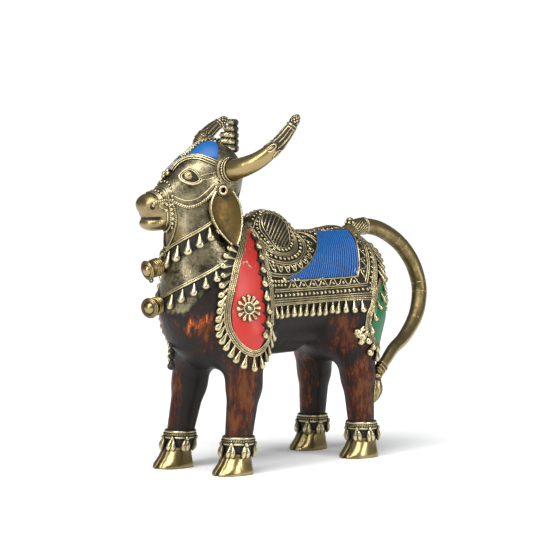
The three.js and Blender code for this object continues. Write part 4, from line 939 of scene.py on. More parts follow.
EAR_ROWS, EAR_COLUMNS = 34, 20
EAR_POINTS = EAR_ROWS * EAR_COLUMNS
ears, ear_trim = Bench(), Bench()
for side in (1, -1):
    spot = ear_shape(side)
    t, k = np.meshgrid(np.linspace(0, 1, EAR_ROWS), np.linspace(-1, 1, EAR_COLUMNS), indexing="ij")
    front = spot(t, k, 1.0 + 0 * t)
    back = spot(t, k, -1.5 + 0 * t)
    index = np.arange(EAR_POINTS).reshape(EAR_ROWS, EAR_COLUMNS)
    a, b, c, d = index[:-1, :-1], index[1:, :-1], index[1:, 1:], index[:-1, 1:]
    quads = np.stack([a, b, c, d], -1).reshape(-1, 4)
    rim = np.concatenate([index[0], index[1:, -1], index[-1, -2::-1], index[-2:0:-1, 0]])
    walls = np.stack([rim, np.roll(rim, -1), np.roll(rim, -1) + EAR_POINTS, rim + EAR_POINTS], 1)
    if side > 0:
        both = np.vstack([quads, quads[:, ::-1] + EAR_POINTS, walls[:, ::-1]])
    else:
        both = np.vstack([quads[:, ::-1], quads + EAR_POINTS, walls])
    worn = np.concatenate([0.32 + 0.3 * np.abs(k.ravel()) ** 6, np.full(EAR_POINTS, 0.55)])
    ears.add(np.vstack([front.reshape(-1, 3), back.reshape(-1, 3)]), worn, both)
    way = head_way(side, 0, 0)
    out = np.broadcast_to(way, (90, 3))
    down = np.linspace(0.03, 0.99, 90)
    for edge in (-1.0, 1.0):
        lay(ear_trim, spot(down, 0.97 * edge + 0 * down, 1.05), out, 0.85, 6)
    lay(ear_trim, spot(down, 1.02 + 0 * down, -0.4), out, 0.95, 8, 0.3, 0.3)
    centre = from_head(side * 25.8, 0.5, 206.5)
    ring_round(ear_trim, centre, way, 2.75, 1.0, 0, 28)
    ear_trim.rise[-1] = np.full(len(ear_trim.points[-1]), 1.0)
    ring_round(ear_trim, centre - way * 1.2, way, 3.9, 0.6, 0, 28)
    stem = np.array([from_head(side * 15, 2, 205), from_head(side * 20, 1.4, 205.6),
                     from_head(side * 24, 1, 206)])
    lay(ear_trim, stem, np.broadcast_to((0, 0, 1.0), (3, 3)), 2.5, 12)
make_piece("ears", ears, ear_brass)
make_piece("ear_rims_and_rings", ear_trim, relief_brass)

# %% Crest
crest = Bench()
for i, radius in enumerate((8.2, 6.8, 5.4, 3.9, 2.3)):
    middle = from_head(0, 22.4 - radius, 236.7 + 4.7 * i)
    tier = [(-2.6, radius * 0.84), (-1.9, radius * 0.93), (-0.9, radius), (0.5, radius),
            (1.2, radius * 0.95), (1.7, radius * 0.84), (2.4, radius * 0.8)]
    turned(crest, middle, (0, 0, 1), tier, 32, [0.1, 0.5, 1, 1, 0.8, 0.4, 0.2], (1, 0, 0))
    ring_round(crest, middle + (0, 0, 1.5), (0, 0, 1), radius * 0.86, 0.7, 0.25, 48)
    bead(crest, from_head(0, 23.2, 236.2 + 4.7 * i), unit(head_way(0, 1, 0)), 3.2 - 0.08 * i, sides=14,
         bands=8)
    studs = np.radians(np.linspace(-70, 70, 7))
    seats = middle + rows(np.sin(studs) * radius * 0.95, -np.cos(studs) * radius * 0.95, -0.2)
    bead(crest, seats, unit(seats - middle + (0, 0, 1e-3)), 0.9)
make_piece("crest", crest, relief_brass)

# %% [markdown]
# ## Bells and necklaces
# Two strings run in a vee round the turned neck. Teardrops hang below each, and at the lowest point a small
# bell stands out, its mouth ringed with threads and filled by a ball.

# %% Necklaces
BELL_PROFILE = [(-0.4, 0.5), (-0.1, 0.7), (0.05, 0.82), (0.2, 0.86), (0.5, 0.86), (0.75, 0.87), (0.9, 0.93),
                (0.95, 1.0),
                (1.0, 1.0), (1.02, 0.93), (0.99, 0.82), (0.8, 0.72), (0.55, 0.5), (0.5, 0.05)]
BELL_RISE = [0.3, 0.4, 0.6, 0.75, 0.75, 0.6, 0.6, 0.9, 1, 0.9, 0.3, 0.05, 0.0, 0.0]
necklaces, bells = Bench(), Bench()
for low, first, step, drops, length, ends, hang in ((160, 14, 14.5, 6, 1.316, 92, 8.5),
                                                    (126, 24, 14, 5, 1.105, 88, 3.0)):
    stops = [(-20 + d, low + 0.3 * abs(d)) for d in np.linspace(-ends, ends, 17)]
    string = trail(throat, stops, 0.7)
    for apart, thick in ((0.0, 0.8), (1.6, 0.55)):
        at, out = settle(string[0] + (0, 0, apart))
        lay(necklaces, at + out * 0.35, out, thick, 6)
    for side in (1, -1):
        for i in range(drops):
            turn = -20 + side * (first + step * i)
            root, _ = throat(turn, low + 0.3 * (first + step * i) - 1.4)
            end, end_out = settle(root + (0, 0, -9.5 * (length - i * 0.063)))
            drop_width = 7.0 if low > 150 else 6.4
            drop(necklaces, root[0] + end_out[0] * 0.2, end[0] + end_out[0] * 0.8, end_out[0], drop_width)
    seat, seat_out = throat(-20, low - hang)
    seat = seat + seat_out * (2.6 if low > 150 else 0.8)
    facing = math.radians(-8 if low > 150 else 12)
    way = unit(np.array([math.sin(facing), -math.cos(facing), -0.28 if low > 150 else -0.12]))
    profile = [(t * 12.6, r * 7.0) for t, r in BELL_PROFILE]
    turned(bells, seat[0], way, profile, 40, BELL_RISE)
    across = unit(np.cross(way, (0, 0, 1)))
    up = np.cross(across, way)
    a = np.linspace(0, 2 * np.pi, 48, endpoint=False)[:, None]
    around = across * np.cos(a) + up * np.sin(a)
    for t, thick in ((3.0, 0.6), (4.6, 0.7), (6.2, 0.7), (7.8, 0.6)):
        slope = t + 1.2 * np.cos(a + 0.6)
        lay(bells, seat[0] + way * slope + around * 6.0, around, thick, 6, closed=True)
    for reach, t, thick in ((6.8, 12.2, 0.75), (5.8, 12.7, 0.65), (4.9, 12.6, 0.6)):
        lay(bells, seat[0] + way * t + around * reach, around, thick, 6, closed=True)
    bead(bells, seat[0] + way * 11.1, way, 4.6, 0.95, 20, 14)
    if low > 150:
        loop = seat[0] + way * 11.0 - up * 7.6
        lay(bells, loop + (way * np.cos(a) + up * np.sin(a)) * 1.4, np.broadcast_to(across, (48, 3)), 0.6,
            6, closed=True)
    knot, knot_out = throat(-20, low - 0.5)
    bead(necklaces, knot + knot_out * 1.2, knot_out, 2.9, sides=14, bands=8)
    lay(necklaces, knot[0] + knot_out[0] * 1.6 + (across * np.cos(a) + (0, 0, 1) * np.sin(a)) * 3.3,
        np.broadcast_to(knot_out[0], (48, 3)), 0.6, 6, closed=True)
brisket = [(-7.4, -94.5, 94 - 4.3 * n) for n in range(4)]
bead(necklaces, brisket, np.tile((0.3, -1.0, 0), (4, 1)), (2.0, 1.9, 2.3, 2.0), 1.0, 12, 8)
bead(necklaces, (-7.0, -95.2, 78.6), (0, -1, 0), 3.0, 1.0, 12, 8)
# The pendant under the chest is darkened as a whole: painted shade.
necklaces.rise[-5:] = [0.45 * rise for rise in necklaces.rise[-5:]]
make_piece("necklaces", necklaces, relief_brass)
make_piece("bells", bells, polished_brass)

# %% [markdown]
# ## How ornament is laid out
# The maker covers the shoulder, hump and back with bands of rolled wax: a thread, a rope, a row of beads, a
# wave with a bead in each bend, then a thread again. Here a band starts from one line on the skin, and its
# neighbours lie beside it at fixed distances. Two ropes twisted opposite ways look like a plait.

# %% Lines beside lines
hand = np.random.default_rng(7)

def beside(at, out, distance):
    across = frames_along(at, out)[1]
    return settle(at + across * distance)

def lifted(at, out, rise):
    return at + out * rise, out

def thread(bench, line, radius=0.75, rise=0.35, low=0.0):
    at, out = lifted(*line, rise)
    lay(bench, at, out, radius, 6, low=low)

def rope(bench, line, radius=1.05, twist=0.36, rise=0.4):
    at, out = lifted(*evenly(*line, 0.45), rise)
    lay(bench, at, out, radius, 8, twist, 0.34, low=0.5)

def plait(bench, line, radius=0.95, twist=0.34, rise=0.45):
    rope(bench, beside(*line, radius * 0.92), radius, twist, rise)
    rope(bench, beside(*line, -radius * 0.92), radius, -twist, rise)

def beads(bench, line, spacing, radius, rise=0.35, tall=0.95):
    at, out = evenly(*line, spacing)
    size = radius * (1 + hand.normal(0, 0.07, len(at)))
    bead(bench, at + out * rise + hand.normal(0, 0.12, at.shape), out, size, tall)

def wave(bench, line, reach, length, radius=0.6, bead_radius=0.95, flip=1):
    """A wave thread along a line, with a bead in every second bend."""
    at, out = evenly(*line, 0.5)
    across = frames_along(at, out)[1]
    gone = np.arange(len(at)) * np.linalg.norm(at[1] - at[0])
    turns = max(2, round(gone[-1] / length))
    phase = 2 * np.pi * turns * gone / gone[-1]
    shape = np.sign(np.cos(phase)) * np.abs(np.cos(phase)) ** 0.75
    moved, moved_out = settle(at + across * (reach * flip * shape)[:, None])
    lay(bench, moved + moved_out * 0.35, moved_out, radius, 6)
    seats = [int(round((k + 0.5) * (len(at) - 1) / turns)) for k in range(turns)]
    seat, seat_out = settle(at[seats] + across[seats] * reach * flip * 0.35)
    bead(bench, seat + seat_out * 0.3, seat_out, bead_radius)

def fringe(bench, line, count, length, width, side, lean=0.0, rise=0.5, fall=(0.0, 0.0)):
    """Teardrops hung along a line, pointing away from it over the skin and, with fall, downward."""
    at, out = evenly(*line, count=count)
    along, across, _ = frames_along(at, out)
    for i in range(count):
        long = length * (1 + hand.normal(0, 0.05))
        sink = np.interp(i / count, np.linspace(0, 1, len(fall)), fall)
        way = unit(across[i] * side + along[i] * (lean + hand.normal(0, 0.06)) + np.array([0, 0, -sink]))
        end, end_out = settle((at[i] + way * long)[None])
        drop(bench, at[i] + out[i] * rise, end[0] + end_out[0] * (rise + 0.2), end_out[0],
             width * (1 + hand.normal(0, 0.05)))

def runs(line, keep):
    """The unbroken stretches of a line where keep holds."""
    at, out = line
    good = keep(at)
    edges = np.flatnonzero(np.diff(np.concatenate([[0], good.astype(int), [0]])))
    return [(at[a:b], out[a:b]) for a, b in zip(edges[::2], edges[1::2]) if b - a > 5]

def pad(bench, chart, first, second, rise, ways=(90, 24), sink=1.2, rim=0.12):
    """A sheet on the skin between two lines of chart places, rounded down along its rim."""
    a, b = np.asarray(first(np.linspace(0, 1, ways[0]))).T, np.asarray(second(np.linspace(0, 1, ways[0]))).T
    k = np.linspace(0, 1, ways[1])
    grid = a[:, None] + (b - a)[:, None] * k[None, :, None]
    at, out = chart(*grid.reshape(-1, a.shape[1]).T)
    i = np.linspace(0, 1, ways[0])
    near = np.minimum(np.minimum(k, 1 - k)[None] / rim, np.minimum(i, 1 - i)[:, None] / 0.03)
    height = np.where(near < 1e-6, -sink, rise * np.clip(near, 0, 1) ** 0.35)
    points = at + out * height.reshape(-1, 1)
    index = np.arange(ways[0] * ways[1]).reshape(ways)
    quads = np.stack([index[:-1, :-1], index[1:, :-1], index[1:, 1:], index[:-1, 1:]], -1).reshape(-1, 4)
    middle = len(quads) // 2
    normal = np.cross(points[quads[middle, 1]] - points[quads[middle, 0]],
                      points[quads[middle, 3]] - points[quads[middle, 0]])
    if normal @ out[quads[middle, 0]] < 0:
        quads = quads[:, ::-1]
    bench.add(points, np.clip(near, 0, 1).ravel(), quads)

def between_stops(stops):
    line = smooth(stops, 16)
    gone = np.concatenate([[0], np.cumsum(np.linalg.norm(np.diff(line, axis=0), axis=1))])
    gone /= gone[-1]
    return lambda t: np.stack([np.interp(t, gone, line[:, i]) for i in range(line.shape[1])])

print("a plait is two ropes,", 2 * 0.95 * 2, "mm wide")

# %% [markdown]
# ## Paint
# Red, blue and green enamel fill the panels. It is thick, slightly uneven and chipped: where it has gone, the
# metal shows through, most of all on ridges. One group gives chips and edge wear to all three colours.

# %% A node group for chipped enamel
chipped_enamel, sheet, given, result = new_group("chipped enamel", [
    ("Paint", "NodeSocketColor", linear(225, 70, 55)), ("Deep", "NodeSocketColor", linear(150, 30, 25)),
    ("Metal", "NodeSocketColor", linear(190, 180, 150)), ("Rise", "NodeSocketFloat", 0.0),
    ("Chips", "NodeSocketFloat", 0.3), ("Ridge wear", "NodeSocketFloat", 0.0),
    ("Gap depth", "NodeSocketFloat", 0.0),
], [("Color", "NodeSocketColor"), ("Roughness", "NodeSocketFloat"), ("Metallic", "NodeSocketFloat"),
    ("Height", "NodeSocketFloat")])
place = sheet.node("ShaderNodeTexCoord").outputs["Object"]
cloud = sheet.noise(place, 35.0, 3.0)
flake = sheet.noise(place, 420.0, 5.0, 0.68)
patch = sheet.noise(place, 75.0, 2.0)
chip_level = sheet.sum("ADD", sheet.sum("MULTIPLY", flake, 0.55), sheet.sum("MULTIPLY", patch, 0.45))
worn_ridge = sheet.sum("MULTIPLY", given.outputs["Rise"], given.outputs["Ridge wear"])
on_ridge = sheet.sum("MULTIPLY", worn_ridge, 0.3)
bare = sheet.step(sheet.sum("ADD", sheet.sum("ADD", chip_level, on_ridge),
                            sheet.sum("MULTIPLY_ADD", given.outputs["Chips"], 0.2, -0.1)), 0.63, 0.66)
gap = sheet.sum("MULTIPLY", sheet.sum("SUBTRACT", 1.0, given.outputs["Rise"]), given.outputs["Gap depth"])
paint = sheet.mix(sheet.step(cloud, 0.25, 0.8), given.outputs["Paint"],
                  sheet.mix(0.22, given.outputs["Paint"], given.outputs["Deep"]))
paint = sheet.mix(sheet.step(gap, 0.2, 0.75), paint, given.outputs["Deep"])
sheet.tree.links.new(sheet.mix(bare, paint, given.outputs["Metal"]), result.inputs["Color"])
sheet.tree.links.new(sheet.sum("ADD", 0.42, sheet.sum("MULTIPLY", sheet.sum("SUBTRACT", cloud, 0.5), 0.3)),
                     result.inputs["Roughness"])
sheet.tree.links.new(sheet.sum("MULTIPLY", bare, 0.8), result.inputs["Metallic"])
sheet.tree.links.new(sheet.sum("MULTIPLY_ADD", bare, -0.6,
                               sheet.sum("MULTIPLY_ADD", cloud, 0.5, sheet.sum("MULTIPLY", flake, 0.12))),
                     result.inputs["Height"])

def enamel(name, paint, deep, metal, chips, ridge=0.0, gap=0.0, bump=0.35):
    material, sheet = new_material(name)
    rise = sheet.node("ShaderNodeAttribute", attribute_name="rise").outputs["Fac"]
    layer = sheet.node("ShaderNodeGroup", node_tree=chipped_enamel)
    sheet.tree.links.new(rise, layer.inputs["Rise"])
    for key, value in (("Paint", paint), ("Deep", deep), ("Metal", metal), ("Chips", chips),
                       ("Ridge wear", ridge), ("Gap depth", gap)):
        layer.inputs[key].default_value = value
    close_material(sheet, layer.outputs["Color"], layer.outputs["Roughness"], layer.outputs["Metallic"],
                   layer.outputs["Height"], bump, 0.0006)
    return material

red_enamel = enamel("red_enamel", linear(180, 40, 32), linear(130, 20, 18), linear(190, 182, 160), 0.62)
blue_enamel = enamel("blue_enamel", linear(2, 84, 152), linear(3, 14, 34), linear(176, 168, 140),
                     0.0, 0.4, 0.9)
green_enamel = enamel("green_enamel", linear(16, 104, 58), linear(10, 60, 32), linear(176, 168, 140), 0.1)
flat_blue_enamel = enamel("flat_blue_enamel", linear(0, 90, 160), linear(0, 54, 105),
                          linear(176, 168, 140), 0.35)
ground_metal = brass("dark_ground", linear(16, 15, 13), linear(52, 48, 40), linear(90, 84, 66), 0.8, 0.1)
print("paints:", red_enamel.name, blue_enamel.name, green_enamel.name)

# %% [markdown]
# ## Shoulder leaves
# A leaf-shaped panel hangs over each shoulder, pointed at the withers and round below. Its edge is a plait
# between two threads. Red enamel fills it, teardrops point in from its rear edge and hang round it outside,
# and a rosette sits low in the middle. Places are given by distance along the back and angle round it.

# %% Lines of the shoulder leaf
LEAF_OUTER = [(-29, 4), (-36, 9.5), (-45, 17), (-54, 27), (-61.8, 37), (-67, 45), (-71.2, 55), (-76, 72),
              (-79, 90), (-79.3, 106), (-77.4, 119),
              (-73.5, 127.5), (-67.5, 132.5), (-59, 133), (-50, 129.5), (-43, 122.5), (-39.5, 113)]
LEAF_REAR = [(-29, 4), (-29.8, 12), (-30.8, 24), (-34.4, 38), (-37.6, 52), (-38.9, 66), (-38.4, 80),
             (-37.9, 92), (-38.2, 102), (-39.5, 113)]
RED_FRONT = [(-31, 8), (-40.5, 16), (-49, 25.5), (-57.2, 37), (-62.6, 46), (-66.8, 57), (-71.4, 73),
             (-74.4, 90), (-74.8, 106), (-73.6, 117), (-71, 124), (-66.8, 129), (-60.6, 131)]
RED_REAR = [(-31, 8), (-33.6, 15), (-38.2, 26.5), (-42.4, 37), (-45.2, 48), (-46.4, 60), (-46.7, 77),
            (-46.1, 93), (-46.8, 105), (-49, 115), (-52.4, 123.5), (-56, 129), (-60.6, 131)]

leaf_ground, red_paint, leaf_trim = Bench(), Bench(), Bench()
for side in (1, -1):
    chart = on_side(flank, side)
    pad(leaf_ground, chart, between_stops(LEAF_OUTER), between_stops(LEAF_REAR), 0.55, (110, 30), rim=0.04)
    pad(red_paint, chart, between_stops(RED_FRONT), between_stops(RED_REAR), 1.15, (120, 34), 0.4, 0.05)
    outer = trail(chart, LEAF_OUTER, 0.8)
    thread(leaf_trim, outer, 0.65, 0.5)
    plait(leaf_trim, beside(*outer, -side * 2.1), 0.85, rise=0.75)
    thread(leaf_trim, beside(*outer, -side * 4.1), 0.5, 0.9)
    rear = trail(chart, LEAF_REAR, 0.8)
    plait(leaf_trim, rear, 0.8, rise=0.9)
    thread(leaf_trim, beside(*rear, side * 2.2), 0.65, 0.8)
make_piece("shoulder_leaf_paint", red_paint, red_enamel)

# %% Teardrops and rosettes of the shoulder leaf
NOTCH_SHAPE = [(0.0, 1.0), (0.25, 0.8), (0.6, 0.42), (1.0, 0.06)]

def rosette(bench, seat, out, radius, petals=12, rise=1.3):
    across = unit(np.cross(out, (0, 0, 1)))
    up = np.cross(across, out)
    for k in range(petals):
        a = 2 * np.pi * k / petals
        way = across * math.cos(a) + up * math.sin(a)
        end, end_out = settle((seat + way * radius)[None])
        drop(bench, seat + way * radius * 0.36 + out * (rise + 0.4), end[0] + end_out[0] * (rise + 0.1),
             out, radius * 0.36)
    for reach, thick, twist in ((0.42, 0.8, 0.0), (0.27, 0.55, 0.35)):
        a = np.linspace(0, 2 * np.pi, 44, endpoint=False)[:, None]
        ring = seat + out * (rise + 0.7) + (across * np.cos(a) + up * np.sin(a)) * radius * reach
        lay(bench, ring, np.broadcast_to(out, ring.shape), thick, 6, twist, 0.3 if twist else 0,
            closed=True)
    bead(bench, seat + out * (rise + 0.5), out, radius * 0.24, 1.1, 14, 8)

for side in (1, -1):
    chart = on_side(flank, side)
    outer = trail(chart, LEAF_OUTER, 0.8)
    n = len(outer[0])
    hang = tuple(part[int(n * (0.2 if side > 0 else 0.33)):int(n * 0.985)] for part in outer)
    fringe(leaf_trim, beside(*hang, side * 0.3), 25, 10.4, 5.6, side, 0.0,
           fall=(0.0, 0.1, 0.7, 1.5, 1.3, 1.0, 0.6, 0.8, 1.2))
    stops = [(-38.4, 26), (-40.2, 36), (-42.6, 48), (-44.4, 59.5), (-45.0, 71.5), (-44.2, 87), (-44.8, 101),
             (-48.6, 112)]
    seats = trail(chart, stops, 0.8)
    fringe(leaf_trim, seats, 8, 9.8, 6.2, side, 5.0, 1.6)
    notch_at, notch_out = evenly(*beside(*seats, -side * 0.6), count=8)
    into_leaf = frames_along(notch_at, notch_out)[1] * side
    for seat, seat_out, way in zip(notch_at, notch_out, into_leaf):
        end, end_out = settle((seat + way * 6.8)[None])
        drop(leaf_ground, seat + seat_out * 1.35, end[0] + end_out[0] * 1.35, seat_out, 8.6,
             NOTCH_SHAPE, 6, 0.1)
    knob, knob_out = flank(side, -39.0, 22.5)
    bead(leaf_trim, knob + knob_out * 1.8, knob_out, 2.6, sides=14, bands=8)
    seat, seat_out = flank(side, -62.4, 95.6)
    rosette(leaf_trim, seat[0], seat_out[0], 9.8)
make_piece("shoulder_leaf_ground", leaf_ground, ground_metal)
make_piece("shoulder_leaf_trim", leaf_trim, relief_brass)

# %% [markdown]
# ## Saddle cloth
# The whole back is covered with a cloth of ornament on dark ground. Its field is a blue panel of slanting
# threads. Bands run along its four sides, and rings of beads and threads circle each side of the hump.

# %% Cloth ground
REAR_EDGE = [(92, 4), (91, 18), (89.5, 32), (86.8, 46), (83.4, 58), (79.6, 70), (76.3, 83), (72.2, 97),
             (68.2, 108), (66.6, 117)]
CLOTH_FRONT = [(-30, 0), (-32, 11), (-34, 24), (-37.5, 38), (-40, 55), (-40.4, 72), (-39, 86), (-38.5, 95)]

cloth_ground = Bench()
for side in (1, -1):
    chart = on_side(flank, side)
    pad(cloth_ground, chart, between_stops(CLOTH_FRONT),
        between_stops([(92, 0)] + REAR_EDGE[:7] + [(74.6, 95)]), 0.6, (90, 110), 1.0, 0.01)
    pad(cloth_ground, chart, between_stops([(58, 92), (58, 117)]), between_stops([(74.5, 92), (67, 117)]),
        0.6, (24, 20), 1.0, 0.06)
make_piece("cloth_ground", cloth_ground, ground_metal)

# %% Blue panel of slanting threads
BLUE_REAR = [(75, 8.5), (72.4, 18), (69.6, 28), (66, 37), (63.5, 45), (61, 52.7), (58.6, 61.4), (55.4, 69)]
BLUE_FRONT = [(43, 8.5), (35.5, 18), (28.7, 28), (18.8, 41), (6.7, 52.6), (-6.5, 60.6), (-27, 69)]
BLUE_TOP = [(42, 8.4), (48, 10), (54.6, 12.4), (63, 15.2), (70, 15.6), (75, 13)]

def blue_edge(stops, around):
    return np.interp(around, [a for _, a in stops], [y for y, _ in stops])

blue_ground, blue_threads = Bench(), Bench()
for side in (1, -1):
    chart = on_side(flank, side)
    pad(blue_ground, chart, between_stops(BLUE_FRONT), between_stops(BLUE_REAR), 0.8, (80, 60), 0.5, 0.02)
    blue_ground.rise[-1] = np.zeros(len(blue_ground.points[-1]))
    for foot in np.arange(-58.0, 56, 2.5):
        t = np.linspace(0, 1, 60)
        around = 68.4 - 60 * t
        lean = np.interp(foot, [-20, 56], [40, 17])
        y = foot + lean * t
        top = np.interp(y, [p for p, _ in BLUE_TOP], [a for _, a in BLUE_TOP], left=6)
        past_front = y > blue_edge(BLUE_FRONT, around) + 0.2
        before_rear = y < blue_edge(BLUE_REAR, around) - 0.4
        inside = past_front & before_rear & (around > top)
        if inside.sum() < 4:
            continue
        at, out = evenly(*chart(y[inside], around[inside]), 0.9)
        if len(at) > 3:
            lay(blue_threads, at + out * 0.8, out, 0.87, 6, low=0.05)
make_piece("blue_panel_ground", blue_ground, blue_enamel)
make_piece("blue_panel_threads", blue_threads, blue_enamel)

# %% Bands along the cloth's sides
cloth_trim = Bench()
for side in (1, -1):
    chart = on_side(flank, side)
    flat = lambda around, y0, y1: trail(chart, [(y, around) for y in np.linspace(y0, y1, 9)], 0.8)
    thread(cloth_trim, flat(69.2, -24, 56), 0.7, 0.9)
    thread(cloth_trim, trail(chart, BLUE_FRONT, 0.8), 0.7, 0.9)
    wave(cloth_trim, flat(73.2, -20, 57), 2.5, 11.2, 0.65, 1.5, side)
    beads(cloth_trim, flat(73.4, -37, -23), 3.6, 1.2)
    thread(cloth_trim, flat(77.8, -34, 64), 0.75)
    thread(cloth_trim, flat(80.0, -35, 64), 0.65)
    beads(cloth_trim, flat(84.2, -36, 68), 4.4, 1.55)
    thread(cloth_trim, flat(88.2, -36, 70), 0.6)
    plait(cloth_trim, flat(91.8, -37, 70), 0.9)
    thread(cloth_trim, flat(94.9, -37, 69), 0.55)
    fringe(cloth_trim, flat(95.2, -34, 57), 14, 9.4, 5.7, side)
    hips = trail(on_side(haunch, side), [(96, -28), (88, -32), (80, -36), (71, -39)], 0.8)
    fringe(cloth_trim, hips, 5, 10.0, 6.0, side)

def rear_line(side, share, low, high=6.0):
    """A line between the blue panel's rear edge, 0, and the cloth's rear edge, 1."""
    stops = []
    for around in np.linspace(high, low, 14):
        inner = blue_edge(BLUE_REAR + [(45, 95), (38, 120)], around)
        outer = blue_edge(REAR_EDGE, around)
        stops.append((inner + (outer - inner) * share, around))
    return trail(on_side(flank, side), stops, 0.8)

for side in (1, -1):
    thread(cloth_trim, rear_line(side, 0.0, 69), 0.7, 0.9)
    wave(cloth_trim, rear_line(side, 0.2, 70), 2.3, 9.0, 0.62, 1.05, -side)
    thread(cloth_trim, rear_line(side, 0.39, 76), 0.6)
    rope(cloth_trim, rear_line(side, 0.48, 78), 0.85)
    beads(cloth_trim, rear_line(side, 0.61, 83), 4.3, 1.2)
    thread(cloth_trim, rear_line(side, 0.7, 88), 0.6)
    plait(cloth_trim, rear_line(side, 0.81, 113), 0.85)
    thread(cloth_trim, rear_line(side, 0.92, 113), 0.75, 0.5)
    fringe(cloth_trim, rear_line(side, 0.95, 64, 12), 8, 9.6, 5.8, -side, 0.0, 1.2, (1.2, 1.5, 0.8))
    spine = trail(on_side(flank, side), [(y, 1.6) for y in np.linspace(24, 84, 9)], 0.8)
    rope(cloth_trim, spine, 1.25, 0.3 * side, 0.7)
    top_edge = trail(on_side(flank, side), [(38, 8.6)] + BLUE_TOP[1:-1] + [(76, 12)], 0.8)
    thread(cloth_trim, top_edge, 0.7, 0.8)
    wave(cloth_trim, trail(on_side(flank, side), [(34, 5.2), (48, 6.2), (60, 8.2), (74, 8.4)], 0.8), 1.7,
         6.5, 0.6, 0.8, side)

# %% Rings round the hump
D_EDGE = [(-4, 1.5), (-8, 4), (-16, 7.9), (-20.4, 11.1), (-21.9, 15.4), (-21, 20.2), (-20, 26.5),
          (-19.4, 32.1), (-19, 36)]

def d_edge(at):
    return blue_edge(D_EDGE, angle_round(at[:, 0], at[:, 2]))

def in_cloth(side):
    def keep(at):
        around = angle_round(at[:, 0], at[:, 2])
        front = blue_edge(LEAF_REAR, around) + 1.5
        ahead = at[:, 1] < blue_edge(BLUE_FRONT, around) - 0.6
        above = around < blue_edge([(a, y) for y, a in BLUE_TOP], at[:, 1]) - 1
        clear = (around > 68) | ahead | above
        on_hump = (at[:, 2] < 194 + 0.3 * (at[:, 1] + 8)) & (np.abs(skin(*at.T)) < 0.4)
        within = (at[:, 1] > front) & (at[:, 0] * side > 0.5) & (at[:, 1] < 60) & (around < 70.5)
        return within & clear & on_hump
    return keep

HUMP_TURN = 176

def hump_ring(side, ring):
    turns = np.linspace(-HUMP_TURN, HUMP_TURN, 30)
    line = trail(on_side(hump_side, side), [(ring, turn) for turn in turns], 0.8)
    return runs(line, in_cloth(side))

for side in (1, -1):
    for ring, radius in ((27, 0.8), (36.0, 0.7), (38.4, 0.7), (40.6, 0.55), (49.0, 0.8), (51.4, 0.8),
                         (62.6, 0.7), (64.8, 0.6), (73, 0.7), (81, 0.6)):
        for part in hump_ring(side, ring):
            if ring == 27:
                part = runs(part, lambda at: at[:, 1] > d_edge(at) + 0.4)[0]
            thread(cloth_trim, part, radius, 0.5)
    for ring, spacing, radius in ((31.6, 4.0, 1.5), (44.8, 4.3, 1.6), (69, 3.6, 1.4), (77, 3.6, 1.2)):
        for part in hump_ring(side, ring):
            beads(cloth_trim, part, spacing, radius, 0.5)
    for part in hump_ring(side, 56.5):
        wave(cloth_trim, part, 2.6, 7.4, 0.65, 1.4, side)
    for y, around in ((-23.4, 67.5), (-31, 49.4), (-33.5, 41.7), (-31.5, 58)):
        seat, seat_out = flank(side, y, around)
        bead(cloth_trim, seat + seat_out * 0.4, seat_out, 2.1, 0.8, 6, 6)
withers, withers_out = flank(1, -31.5, 0)
bead(cloth_trim, withers + withers_out * 1.0, withers_out, 3.0, 0.9, 16, 10)

# %% Striped ovals on the hump
def oval_width(t):
    return 25.5 * np.sqrt(np.clip(1 - t * t, 0, 1))

for side in (1, -1):
    chart = on_side(hump_side, side)
    straight = trail(on_side(flank, side), [(y + 0.3, a) for y, a in D_EDGE], 0.8)
    thread(cloth_trim, straight, 0.8, 0.5)
    thread(cloth_trim, trail(on_side(flank, side), [(y - 2.0, a) for y, a in D_EDGE], 0.8), 0.6, 0.4)
    beads(cloth_trim, trail(on_side(flank, side), [(y - 4.8, a) for y, a in D_EDGE], 0.8), 3.6, 1.4, 0.5)
    thread(cloth_trim, trail(on_side(flank, side), [(y - 7.4, a) for y, a in D_EDGE], 0.8), 0.6, 0.4)
    for n, shift in enumerate(np.linspace(-0.86, 0.86, 19)):
        half = oval_width(shift)
        s = np.linspace(-1, 1, 26) * half
        ring = np.hypot(s, shift * 24.5)
        turn = np.degrees(np.arctan2(s, shift * 24.5 + 0 * s)) + 50
        at, out = chart(ring, turn)
        good = (at[:, 0] * side > 0.4) & (at[:, 1] > d_edge(at) + 1)
        if good.sum() > 4:
            thick, proud = (0.72, 0.4) if n % 2 == 0 else (0.42, 0.1)
            thread(cloth_trim, evenly(at[good], out[good], 0.8), thick, proud)
make_piece("saddle_cloth_trim", cloth_trim, relief_brass)

# %% [markdown]
# ## Haunch leaves
# A second leaf hangs on each side of the rump, filled with green. Its edge is a plait, teardrops lap over
# the paint from the front edge, and more teardrops hang round its foot.

# %% Haunch leaves
def haunch_leaf_place(share, across):
    front = np.interp(share, [0, 0.2, 0.42, 0.55, 0.66, 0.76, 1], [24, 38, 53, 69, 82, 91, 95])
    rear = np.interp(share, [0, 0.2, 0.5, 1], [20, 13, 8, 8])
    foot = np.sqrt(np.clip(1 - (np.maximum(share - 0.8, 0) / 0.2) ** 2, 0, 1))
    return (front + rear) / 2 + across * (front - rear) / 2 * np.maximum(foot, 0.03), 66 - 112 * share

